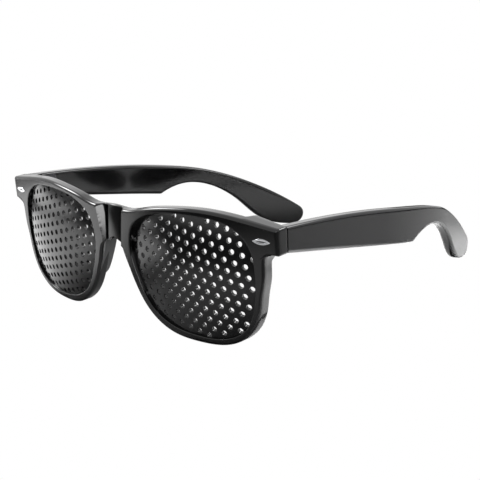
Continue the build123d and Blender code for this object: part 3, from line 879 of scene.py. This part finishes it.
class GLASSES_OT_front(bpy.types.Operator):
    """Make the moulded front with its rims, bridge, endpieces and nose pads"""

    bl_idname = "glasses.front"
    bl_label = "Front"

    def execute(self, context):
        front = FrontFrame(context.scene.glasses_front)
        pad = pad_surface(front, context.scene.glasses_pads)
        points, faces = join_grids([front_surface(front), pad, mirrored(*pad)])
        points, faces = welded(points, faces[:, ::-1])
        add_piece("front_moulding", points, faces, "front", "frame_plastic", ["front_frame"])
        return {"FINISHED"}


# Temples

class TempleSettings(bpy.types.PropertyGroup):
    """Sizes of the temples."""

    thickness: length_setting("Thickness", "Thickness of a temple", 0.0042)
    front_height: length_setting("Front height", "Height at the hinge", 0.0086)
    length: length_setting("Length", "Reach from the seam to the tip", 0.141)
    straight: length_setting("Straight length", "Straight part before the bend", 0.05)
    bend_radius: length_setting("Bend radius", "Radius of the bend inwards", 0.15)
    bend_angle: angle_setting("Bend angle", "Angle of the bend inwards", 20.5)
    bevel: length_setting("Bevel", "Bevel round the outline", 0.0007)
    seam_gap: length_setting("Seam gap", "Gap at the seam", 0.00015)
    leaf_inset: length_setting("Leaf inset", "How far the hinge leaf stands proud", 0.00005)


def temple_lines(front, sizes):
    """The top and the bottom line of a temple seen from its side, which meet in the middle of its tip."""
    top_height = front.hinge_z + sizes.front_height / 2
    start = front.seam_y + sizes.seam_gap
    scale = np.array([sizes.length, top_height])
    origin = np.array([start, 0.0])
    tip = np.asarray(TEMPLE_TIP_SHARE) * scale + origin
    top_line = smooth_line(np.asarray(TEMPLE_TOP_SHARES) * scale + origin, TOP_FINE)
    neck_line = smooth_line(np.asarray(TEMPLE_NECK_SHARES) * scale + origin, NECK_FINE)
    end_line = smooth_line(
        np.array([neck_line[-1], tip, top_line[-1]]), TIP_FINE,
        start=neck_line[-1] - neck_line[-2], end=top_line[-2] - top_line[-1],
    )
    split = np.linalg.norm(end_line - tip, axis=1).argmin()
    low_run = np.linspace((start, top_height - sizes.front_height), neck_line[0], STRAIGHT_FINE)
    top = even_points(np.vstack([top_line, end_line[split:][::-1][1:]]), TEMPLE_COLUMNS)
    low = even_points(np.vstack([low_run, neck_line[1:], end_line[1:split + 1]]), TEMPLE_COLUMNS)
    return top, low


def temple_rows(top, low, sizes):
    """Rows round a temple's section: lines seen from the side, and their depths behind the outer side."""
    outline = np.vstack([top, low[::-1][1:]])
    outline_in = -left_normals(outline)
    outline_in[0], outline_in[-1] = (0, -1), (0, 1)
    top_in, low_in = outline_in[:TEMPLE_COLUMNS], outline_in[TEMPLE_COLUMNS - 1:][::-1]
    face_top, face_low = top + top_in * sizes.bevel, low + low_in * sizes.bevel
    inner = sizes.thickness - sizes.leaf_inset
    steps = [chamfer_step(turn) for turn in EDGE_TURNS]
    rows = []
    for line, line_in, outwards in ((top, top_in, True), (low, low_in, False)):
        bevel = [(line + line_in * sizes.bevel * reach, sizes.bevel * drop) for reach, drop in steps]
        wall = [(line, sizes.bevel + (inner - sizes.bevel * 2) * level) for level in WALL_LEVELS[:-1]]
        back = [(spots, inner - depth) for spots, depth in reversed(bevel)]
        edge = bevel + wall + back
        first, last, depth = (face_top, face_low, inner) if outwards else (face_low, face_top, 0.0)
        rows += edge if outwards else edge[::-1]
        rows += [(first * (1 - level) + last * level, depth) for level in TEMPLE_LEVELS]
    return np.stack([spots for spots, _ in rows], axis=1), np.array([depth for _, depth in rows])


def temple_surface(front, sizes):
    """A right temple: upright rings between its top and bottom lines, bent inwards along an arc.

    The outer side lies at x = X - r + sqrt(r^2 - y^2) on the bend of radius r, and runs straight behind it.
    The last ring lies flat in the tip, where its two halves are welded, so the fan there is left out.
    """
    top, low = temple_lines(front, sizes)
    flat, depth = temple_rows(top, low, sizes)
    ahead, up = flat[..., 0], flat[..., 1]
    bend_start = top[0, 0] + sizes.straight
    bend_end = bend_start + sizes.bend_radius * math.sin(sizes.bend_angle)
    inside = np.clip(ahead - bend_start, 0, bend_end - bend_start)
    across = front.half_width - sizes.bend_radius + np.sqrt(sizes.bend_radius**2 - inside**2)
    across -= np.maximum(ahead - bend_end, 0) * math.tan(sizes.bend_angle)
    lean = np.arcsin(inside / sizes.bend_radius)
    rings = np.stack([across - depth * np.cos(lean), ahead - depth * np.sin(lean), up], axis=-1)
    points, quads = closed_rings(rings)
    return points[:-1], quads[:-rings.shape[1], ::-1]


class GLASSES_OT_temples(bpy.types.Operator):
    """Make the two moulded temples"""

    bl_idname = "glasses.temples"
    bl_label = "Temples"

    def execute(self, context):
        front = FrontFrame(context.scene.glasses_front)
        points, faces = temple_surface(front, context.scene.glasses_temples)
        right = welded(points, faces)
        left = welded(*mirrored(points, faces))
        add_piece("right_temple_moulding", *right, "right_temple", "frame_plastic", ["right_temple"])
        add_piece("left_temple_moulding", *left, "left_temple", "frame_plastic", ["left_temple"])
        return {"FINISHED"}


# Lenses

class LensSettings(bpy.types.PropertyGroup):
    """Sizes of the punched lenses."""

    dome_radius: length_setting("Dome radius", "Radius of the dome", 0.0906)
    nose_depth: length_setting("Nose depth", "Depth in the rim at the nose", 0.00155)
    temple_depth: length_setting("Temple depth", "Depth in the rim at the temple", 0.0008)
    thickness: length_setting("Thickness", "Thickness of the sheet", 0.0014)
    lip: length_setting("Lip", "Width held in the rim", 0.0009)
    hole: length_setting("Hole", "Diameter of a pinhole", 0.0019)
    hole_edge: length_setting("Hole edge", "Bevel round a pinhole", 0.00005)
    pitch: length_setting("Pitch", "Distance between pinholes", 0.0038)
    row_angle: angle_setting("Row angle", "Slant of the rows", 15)
    margin: length_setting("Margin", "Nearest hole centre to the opening's edge", 0.00035)
    right_start: place_setting("Right start", "First hole of the right lens", (0.00126, -0.00175))
    left_start: place_setting("Left start", "First hole of the left lens", (-0.00098, 0.00079))


def inside_loop(spots, loop):
    """Which spots lie in a closed loop, by counting the edges that a ray along +X crosses."""
    first, second = loop[None], np.roll(loop, -1, axis=0)[None]
    spot = spots[:, None]
    spans = (first[..., 1] > spot[..., 1]) != (second[..., 1] > spot[..., 1])
    rise = np.where(spans, second[..., 1] - first[..., 1], 1.0)
    cross = first[..., 0] + (second[..., 0] - first[..., 0]) * (spot[..., 1] - first[..., 1]) / rise
    return (spans & (cross > spot[..., 0])).sum(axis=1) % 2 == 1


class LensDome:
    """The sphere that a right lens follows, through both ends of its middle line in the front's own frame."""

    def __init__(self, front, sizes):
        opening = front.sizes
        nose = float(front.depth(opening.bridge_width / 2)) + sizes.nose_depth
        temple = float(front.depth(opening.bridge_width / 2 + opening.lens_width)) + sizes.temple_depth
        self.front = front
        self.drop = opening.lens_drop
        self.radius = sizes.dome_radius
        self.turn = math.atan2(temple - nose, opening.lens_width)
        half_chord = math.hypot(opening.lens_width, temple - nose) / 2
        rise = self.radius - math.sqrt(self.radius**2 - half_chord**2)
        self.across = front.out + rise * math.sin(self.turn)
        self.depth = (nose + temple) / 2 - rise * math.cos(self.turn)

    def seen(self, spots, sunk=0.0):
        """Across, depth and height of spots of the plane that touches the dome, sunk in the sheet by a depth.

        The sphere is w = R - sqrt(R^2 - s^2 - t^2), shrunk about its centre by (R - sunk) / R.
        """
        scale = (self.radius - sunk) / self.radius
        side = spots[..., 0] * scale
        fall = self.radius - np.sqrt(self.radius**2 - (spots**2).sum(axis=-1)) * scale
        turn_cos, turn_sin = math.cos(self.turn), math.sin(self.turn)
        return (
            self.across + side * turn_cos - fall * turn_sin,
            self.depth + side * turn_sin + fall * turn_cos,
            spots[..., 1] * scale - self.drop,
        )

    def layer(self, spots, sunk):
        """Points of the sheet at a depth in it."""
        return self.front.place(*self.seen(spots, sunk))

    def centre(self):
        """The middle of the sphere."""
        return self.front.place(
            self.across - self.radius * math.sin(self.turn), self.depth + self.radius * math.cos(self.turn),
            np.float64(-self.drop),
        )

    def edge(self, lip):
        """Spots of the lens's edge, a lip outside the opening, moved until they are seen on its line."""
        rim = smooth_line(self.front.round_lens(OPENING_SHARES, lip), LENS_AROUND, closed=True)[::-1]
        spots = rim - (self.across, -self.drop)
        for _ in range(LENS_EDGE_PASSES):
            spots[:, 0] += rim[:, 0] - self.seen(spots)[0]
        return spots


def hole_centres(dome, sizes, start):
    """Spots of the pinholes: a triangular grid, kept where it is seen inside the opening.

    One step goes p (cos a, -sin a) and one row goes p (-sin a, cos a), with a pitch p and a slant a.
    At a slant of 15 degrees they are 120 degrees apart.
    """
    opening = dome.front.sizes
    reach = math.ceil(opening.lens_width / sizes.pitch)
    count = np.arange(-reach, reach + 1)
    row, step = np.meshgrid(count, count, indexing="ij")
    along, aside = sizes.pitch * math.cos(sizes.row_angle), sizes.pitch * math.sin(sizes.row_angle)
    grid = np.stack([step * along - row * aside, row * along - step * aside], axis=-1).reshape(-1, 2) + start
    grid = grid[np.hypot(grid[:, 0], grid[:, 1]) < opening.lens_width]
    across, _, up = dome.seen(grid)
    window = smooth_line(dome.front.round_lens(OPENING_SHARES, -sizes.margin), LENS_AROUND, closed=True)
    return grid[inside_loop(np.stack([across, up], axis=1), window)]


def loop_links(index):
    """Each index beside the next one round its loop, for loops in rows."""
    return np.stack([index, np.roll(index, -1, axis=-1)], axis=-1).reshape(-1, 2)


def loop_band(outer, inner):
    """Quads between loops of indices and the loops inside them."""
    corners = [outer, np.roll(outer, -1, axis=-1), np.roll(inner, -1, axis=-1), inner]
    return np.stack(corners, axis=-1).reshape(-1, 4)


def sheet_triangles(plan, ring, mouths):
    """Triangles between the edge and the holes' mouths, without those that fill a hole."""
    spots = [Vector(spot) for spot in plan * MILLIMETRES]
    links = np.vstack([loop_links(ring), loop_links(mouths)]).tolist()
    found, _, triangles, _, _, _ = delaunay_2d_cdt(spots, links, [], 1, SAME_POINT)
    if len(found) != len(plan):
        raise RuntimeError("the holes of a lens cut each other")
    triangles = np.array([list(face) for face in triangles])
    holes = np.repeat(np.arange(len(mouths)), HOLE_AROUND)
    owner = np.concatenate([np.full(len(ring), -1), holes])[triangles]
    filling = (owner[:, 0] == owner[:, 1]) & (owner[:, 1] == owner[:, 2]) & (owner[:, 0] >= 0)
    return triangles[~filling]


def lens_surface(front, sizes, start):
    """A punched sheet on the dome, with a bevelled hole x = c + r cos p, y = d + r sin p at each spot."""
    dome = LensDome(front, sizes)
    edge = dome.edge(sizes.lip)
    centres = hole_centres(dome, sizes, start)
    around = np.linspace(0, 2 * math.pi, HOLE_AROUND, endpoint=False)
    circle = np.stack([np.cos(around), np.sin(around)], axis=1)
    throats = (centres[:, None] + circle * (sizes.hole / 2)).reshape(-1, 2)
    plan = np.vstack([edge, (centres[:, None] + circle * (sizes.hole / 2 + sizes.hole_edge)).reshape(-1, 2)])
    count = len(plan)
    ring = np.arange(len(edge))
    mouth = np.arange(len(throats)).reshape(-1, HOLE_AROUND) + len(edge)
    throat = mouth - len(edge) + count * 2
    far = throat + len(throats)
    triangles = sheet_triangles(plan, ring, mouth)
    points = np.vstack([
        dome.layer(plan, 0.0), dome.layer(plan, sizes.thickness),
        dome.layer(throats, sizes.hole_edge), dome.layer(throats, sizes.thickness - sizes.hole_edge),
    ])
    bands = [
        loop_band(ring, ring + count), loop_band(mouth, throat), loop_band(throat, far),
        loop_band(far, mouth + count),
    ]
    faces = triangles.tolist() + (triangles[:, ::-1] + count).tolist() + np.vstack(bands).tolist()
    return points, faces, dome.centre(), len(triangles)


class GLASSES_OT_lenses(bpy.types.Operator):
    """Make the two domed lenses with their pinholes"""

    bl_idname = "glasses.lenses"
    bl_label = "Lenses"

    def execute(self, context):
        front = FrontFrame(context.scene.glasses_front)
        sizes = context.scene.glasses_lenses
        for side, start, name in ((1, sizes.right_start, "right"), (-1, sizes.left_start, "left")):
            points, faces, centre, sheet = lens_surface(front, sizes, np.array(start))
            if side < 0:
                points = points * (-1, 1, 1)
                centre = centre * (-1, 1, 1)
                faces = [face[::-1] for face in faces]
            piece = add_piece(
                name + "_punched_lens", points, faces, "front", "lens_plastic", [name + "_lens"],
            )
            self.smooth_sheet(piece.data, points - centre, sheet)
        return {"FINISHED"}

    def smooth_sheet(self, mesh, outwards, sheet):
        """Give the triangles of both sides of the sheet the sphere's own normals."""
        outwards = outwards / np.linalg.norm(outwards, axis=1, keepdims=True)
        corners = np.empty(len(mesh.loops), dtype=np.int64)
        mesh.loops.foreach_get("vertex_index", corners)
        normals = np.zeros((len(corners), 3))
        normals[:sheet * 3] = outwards[corners[:sheet * 3]]
        normals[sheet * 3:sheet * 6] = -outwards[corners[sheet * 3:sheet * 6]]
        mesh.normals_split_custom_set(normals.tolist())


# Inlays

class InlaySettings(bpy.types.PropertyGroup):
    """Sizes of the metal inlays."""

    length: length_setting("Length", "Length of an inlay", 0.0069)
    height: length_setting("Height", "Height of an inlay", 0.002)
    proud: length_setting("Proud", "How far it stands out", 0.00025)
    inset: length_setting("Inset", "Middle of it in from the corner", 0.006)
    slot_length: length_setting("Slot length", "Length of the sunk slot", 0.0042)
    slot_height: length_setting("Slot height", "Height of the sunk slot", 0.0005)
    slot_depth: length_setting("Slot depth", "Depth of the sunk slot", 0.0003)


def inlay_profile(sizes):
    """Steps from an inlay's foot into its slot: a share of the way in from its outline, and a height.

    The outer edge is rounded as 1 - cos a in and sin a up, and the slot's lip as sin a in and 1 - cos a down.
    """
    floor = sizes.proud - sizes.slot_depth
    steps = [(0.0, -sizes.slot_depth), (0.0, 0.0)]
    for turn in INLAY_TURNS:
        rise = INLAY_FOOT + (1 - INLAY_FOOT) * math.sin(turn)
        steps.append((INLAY_ROUND * (1 - math.cos(turn)), sizes.proud * rise))
    steps += [(share, sizes.proud * height) for share, height in INLAY_CROWN]
    share, height = steps[-1]
    for turn in INLAY_TURNS[1:]:
        fall = sizes.slot_depth * SLOT_LIP * (1 - math.cos(turn))
        steps.append((share + (1 - share) * math.sin(turn), height - fall))
    return steps + [(1.0, floor), (SLOT_FLOOR, floor)]


def inlay_surface(front, sizes):
    """An almond x = a cos p, y = b sin p |sin p|, in rings from its foot over its edge into the slot."""
    around = np.linspace(0, 2 * math.pi, INLAY_AROUND, endpoint=False)
    almond = np.stack([np.cos(around), np.sin(around) * np.abs(np.sin(around))], axis=1)
    whole = np.array([sizes.length / 2, sizes.height / 2])
    slot = np.array([sizes.slot_length / 2, sizes.slot_height / 2])
    share, proud = np.array(inlay_profile(sizes)).T[..., None]
    half = whole + (slot - whole) * np.minimum(share, 1.0) - slot * np.maximum(share - 1.0, 0.0)
    flat = almond * half[:, None]
    across = front.half_width - sizes.inset
    turn_cos, turn_sin = math.cos(front.angle), math.sin(front.angle)
    points, quads = closed_rings(front.place(
        across + flat[..., 0] * turn_cos + proud * turn_sin,
        front.depth(across) + flat[..., 0] * turn_sin - proud * turn_cos,
        front.end_middle + flat[..., 1],
    ))
    # sunk is 1 on the slot's points, where the colour is darkened to painted shade
    sunk = np.zeros(len(points), dtype=np.float32)
    sunk[(len(share) - 2) * INLAY_AROUND:] = 1.0
    sunk[-2] = 0.0
    return points, trimmed(quads), sunk


class GLASSES_OT_inlays(bpy.types.Operator):
    """Make the two metal inlays with their sunk slots"""

    bl_idname = "glasses.inlays"
    bl_label = "Inlays"

    def execute(self, context):
        front = FrontFrame(context.scene.glasses_front)
        for side, name in ((1, "right"), (-1, "left")):
            points, faces, sunk = inlay_surface(front, context.scene.glasses_inlays)
            if side < 0:
                points = points * (-1, 1, 1)
                faces = [face[::-1] for face in faces]
            piece = add_piece(
                name + "_almond_inlay", points, faces, "front", "inlay_metal", [name + "_front_inlay"],
            )
            # The sunk attribute carries the painted shade in the slot
            slot_shade_mask = piece.data.attributes.new("sunk", "FLOAT", "POINT")
            slot_shade_mask.data.foreach_set("value", sunk)
        return {"FINISHED"}


# The stage

class StageSettings(bpy.types.PropertyGroup):
    """Camera, floor and lamps."""

    camera_place: place_setting(
        "Camera place", "Where the camera stands, in the row frame", (0.27887, -0.29075, 0.12235),
    )
    camera_azimuth: angle_setting("Azimuth", "Direction that the camera looks from", 45.109)
    camera_elevation: angle_setting("Elevation", "Height of the camera over the horizon", 14.989)
    camera_roll: angle_setting("Roll", "Turn of the camera about its view line", -2.042)
    lens_mm: FloatProperty(
        name="Lens", description="Focal length on a sensor 36 mm wide, in millimetres",
        default=76.635, unit="CAMERA",
    )
    floor_size: length_setting("Floor size", "Side of the floor", 6.0)
    back_lamp: place_setting("Back box", "Place of the soft box behind", (0.21, 0.32, 0.35))
    back_aim: place_setting("Back aim", "Where it points", (0.14, 0.10, 0.0))
    back_size: length_setting("Back size", "Side of the soft box behind", 0.26)
    back_spread: angle_setting("Back spread", "Spread of the soft box behind", 44)
    back_power: power_setting("Back power", "Power of the soft box behind, in watts", 0.28)
    left_lamp: place_setting("Left box", "Place of the soft box on the left", (-0.40, -0.12, 0.36))
    left_aim: place_setting("Left aim", "Where it points", (0.0, -0.04, 0.03))
    left_size: length_setting("Left size", "Side of the soft box on the left", 0.25)
    left_spread: angle_setting("Left spread", "Spread of the soft box on the left", 24)
    left_power: power_setting("Left power", "Power of the soft box on the left, in watts", 0.08)
    right_lamp: place_setting("Right box", "Place of the soft box on the right", (0.52, -0.60, 0.10))
    right_aim: place_setting("Right aim", "Where it points", (0.0, -0.07, 0.04))
    right_size: length_setting("Right size", "Side of the soft box on the right", 0.26)
    right_spread: angle_setting("Right spread", "Spread of the soft box on the right", 60)
    right_power: power_setting("Right power", "Power of the soft box on the right, in watts", 0.22)
    far_lamp: place_setting("Far box", "Place of the soft box far behind on the left", (-0.65, 0.58, 0.37))
    far_aim: place_setting("Far aim", "Where it points", (0.0, -0.07, 0.04))
    far_size: length_setting("Far size", "Side of the soft box far behind", 0.5)
    far_spread: angle_setting("Far spread", "Spread of the soft box far behind", 60)
    far_power: power_setting("Far power", "Power of the soft box far behind, in watts", 0.05)
    pool_height: length_setting("Spot height", "Height of the spots that light pools on the floor", 0.7)
    front_pool: pool_setting(
        "Front pool", "Middle and radius of the pool at the front left", (-0.14, -0.110, 0.105),
    )
    front_pool_power: power_setting("Front pool power", "Power of its spot, in watts", 42.0)
    rear_pool: pool_setting(
        "Rear pool", "Middle and radius of the pool between the temples", (0.028, 0.067, 0.06),
    )
    rear_pool_power: power_setting("Rear pool power", "Power of its spot, in watts", 18.0)
    side_pool: pool_setting("Side pool", "Middle and radius of the pool at the right", (0.098, -0.03, 0.05))
    side_pool_power: power_setting("Side pool power", "Power of its spot, in watts", 60.0)
    middle_pool: pool_setting(
        "Middle pool", "Middle and radius of the pool in front of the right lens", (0.02, -0.122, 0.055),
    )
    middle_pool_power: power_setting("Middle pool power", "Power of its spot, in watts", 11.0)
    nose_pool: pool_setting(
        "Nose pool", "Middle and radius of the pool behind the bridge", (0.0, -0.042, 0.032),
    )
    nose_pool_power: power_setting("Nose pool power", "Power of its spot, in watts", 6.0)
    left_pool: pool_setting(
        "Left pool", "Middle and radius of the pool far out on the left", (-0.41, -0.20, 0.20),
    )
    left_pool_power: power_setting("Left pool power", "Power of its spot, in watts", 55.0)
    room_light: share_setting("Room light", "Strength of the light from all round", 0.05)


def add_camera(scene, look):
    """The camera at its place, whose axes come from its azimuth, elevation and roll."""
    azimuth, elevation, roll = look.camera_azimuth, look.camera_elevation, look.camera_roll
    back = Vector((
        math.sin(azimuth) * math.cos(elevation),
        -math.cos(azimuth) * math.cos(elevation),
        math.sin(elevation),
    ))
    right = Vector((math.cos(azimuth), math.sin(azimuth), 0.0))
    up = back.cross(right)
    turned_right = right * math.cos(roll) + up * math.sin(roll)
    turned_up = up * math.cos(roll) - right * math.sin(roll)
    data = bpy.data.cameras.new("camera")
    data.sensor_width = SENSOR_WIDTH
    data.lens = look.lens_mm
    data.clip_start = NEAREST_SEEN
    camera = bpy.data.objects.new("camera", data)
    axes = Matrix((turned_right, turned_up, back)).transposed().to_4x4()
    camera.matrix_world = Matrix.Translation(look.camera_place) @ axes
    scene.collection.objects.link(camera)
    scene.camera = camera


def add_floor(scene, look):
    """A pale matt floor, white to the camera alone, so that black plastic mirrors only its lit pools."""
    half = look.floor_size / 2
    corners = [(-half, -half, 0.0), (half, -half, 0.0), (half, half, 0.0), (-half, half, 0.0)]
    mesh = bpy.data.meshes.new("floor")
    mesh.from_pydata(corners, [], [(0, 1, 2, 3)])
    floor = bpy.data.objects.new("floor", mesh)
    scene.collection.objects.link(floor)
    sheet = bpy.data.materials.new("floor_paint")
    sheet.use_nodes = True
    tree = sheet.node_tree
    surface = tree.nodes["Principled BSDF"]
    surface.inputs["Base Color"].default_value = FLOOR_COLOUR
    surface.inputs["Roughness"].default_value = FLOOR_ROUGHNESS
    rays = node(tree, "ShaderNodeLightPath").outputs
    white = node(tree, "ShaderNodeEmission", {"Color": WHITE, "Strength": 1.0})
    mixed = node(tree, "ShaderNodeMixShader", links={
        "Fac": rays["Is Camera Ray"], SHADER_A: surface.outputs["BSDF"], SHADER_B: white.outputs["Emission"],
    })
    tree.links.new(mixed.outputs["Shader"], tree.nodes["Material Output"].inputs["Surface"])
    mesh.materials.append(sheet)


def add_box(scene, look, name):
    """A square soft box that points from its place to its aim.

    The back box also lights matt surfaces, such as the floor. The others are only seen in what mirrors them.
    """
    place, aim = Vector(getattr(look, name + "_lamp")), Vector(getattr(look, name + "_aim"))
    light = bpy.data.lights.new(name + "_box", "AREA")
    light.shape = "SQUARE"
    light.size = getattr(look, name + "_size")
    light.spread = getattr(look, name + "_spread")
    light.energy = getattr(look, name + "_power")
    lamp = bpy.data.objects.new(name + "_box", light)
    lamp.location = place
    lamp.rotation_euler = (aim - place).to_track_quat("-Z", "Y").to_euler()
    lamp.visible_camera = False
    lamp.visible_diffuse = name == "back"
    scene.collection.objects.link(lamp)


def add_spot(scene, look, name):
    """A spot straight over its pool on the floor, as wide as twice the arc tangent of radius over height."""
    across, ahead, radius = getattr(look, name + "_pool")
    light = bpy.data.lights.new(name + "_spot", "SPOT")
    light.spot_size = 2 * math.atan(radius / look.pool_height)
    light.spot_blend = SPOT_BLEND
    light.energy = getattr(look, name + "_pool_power")
    light.shadow_soft_size = SPOT_RADIUS
    lamp = bpy.data.objects.new(name + "_spot", light)
    lamp.location = (across, ahead, look.pool_height)
    lamp.visible_camera = False
    scene.collection.objects.link(lamp)


def add_world(scene, look):
    """A dim room that is white to the camera, in mirrors and through glass."""
    world = bpy.data.worlds.new("studio")
    world.use_nodes = True
    tree = world.node_tree
    dim = tree.nodes["Background"]
    dim.inputs["Color"].default_value = WHITE
    dim.inputs["Strength"].default_value = look.room_light
    rays = node(tree, "ShaderNodeLightPath").outputs
    straight = worked(tree, "MAXIMUM", rays["Is Camera Ray"], rays["Is Transmission Ray"])
    shown = worked(tree, "MAXIMUM", straight, rays["Is Glossy Ray"])
    white = node(tree, "ShaderNodeBackground", {"Color": WHITE, "Strength": 1.0})
    mixed = node(tree, "ShaderNodeMixShader", links={
        "Fac": shown, SHADER_A: dim.outputs["Background"], SHADER_B: white.outputs["Background"],
    })
    tree.links.new(mixed.outputs["Shader"], tree.nodes["World Output"].inputs["Surface"])
    scene.world = world


class GLASSES_OT_stage(bpy.types.Operator):
    """Set the camera, the pale floor, the soft boxes, the spots and the room"""

    bl_idname = "glasses.stage"
    bl_label = "Stage"

    def execute(self, context):
        scene = context.scene
        look = scene.glasses_stage
        add_camera(scene, look)
        add_floor(scene, look)
        for name in ("back", "left", "right", "far"):
            add_box(scene, look, name)
        for name in ("front", "rear", "side", "middle", "nose", "left"):
            add_spot(scene, look, name)
        add_world(scene, look)
        scene.view_settings.view_transform = "Standard"
        return {"FINISHED"}


# The panel and the run

class VIEW3D_PT_glasses(bpy.types.Panel):
    """Buttons for the pieces of the glasses and the stage."""

    bl_label = "Glasses"
    bl_space_type = "VIEW_3D"
    bl_region_type = "UI"
    bl_category = "Glasses"

    def draw(self, context):
        column = self.layout.column(align=True)
        for name in ("front", "temples", "lenses", "inlays", "looks", "stage"):
            column.operator("glasses." + name)


SETTINGS = {
    "glasses_front": FrontSettings, "glasses_pads": PadSettings, "glasses_temples": TempleSettings,
    "glasses_lenses": LensSettings, "glasses_inlays": InlaySettings, "glasses_looks": LookSettings,
    "glasses_stage": StageSettings,
}
CLASSES = (
    *SETTINGS.values(), GLASSES_OT_front, GLASSES_OT_temples, GLASSES_OT_lenses, GLASSES_OT_inlays,
    GLASSES_OT_looks, GLASSES_OT_stage, VIEW3D_PT_glasses,
)


def register():
    """Register the classes and hang each group of settings on the scene."""
    for cls in CLASSES:
        bpy.utils.register_class(cls)
    for name, settings in SETTINGS.items():
        setattr(bpy.types.Scene, name, PointerProperty(type=settings))


def unregister():
    """Take the settings and the classes away again."""
    for name in SETTINGS:
        delattr(bpy.types.Scene, name)
    for cls in reversed(CLASSES):
        bpy.utils.unregister_class(cls)


def main():
    """Register the classes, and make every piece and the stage."""
    register()
    bpy.ops.glasses.front()
    bpy.ops.glasses.temples()
    bpy.ops.glasses.lenses()
    bpy.ops.glasses.inlays()
    bpy.ops.glasses.looks()
    bpy.ops.glasses.stage()


if __name__ == "__main__":
    main()
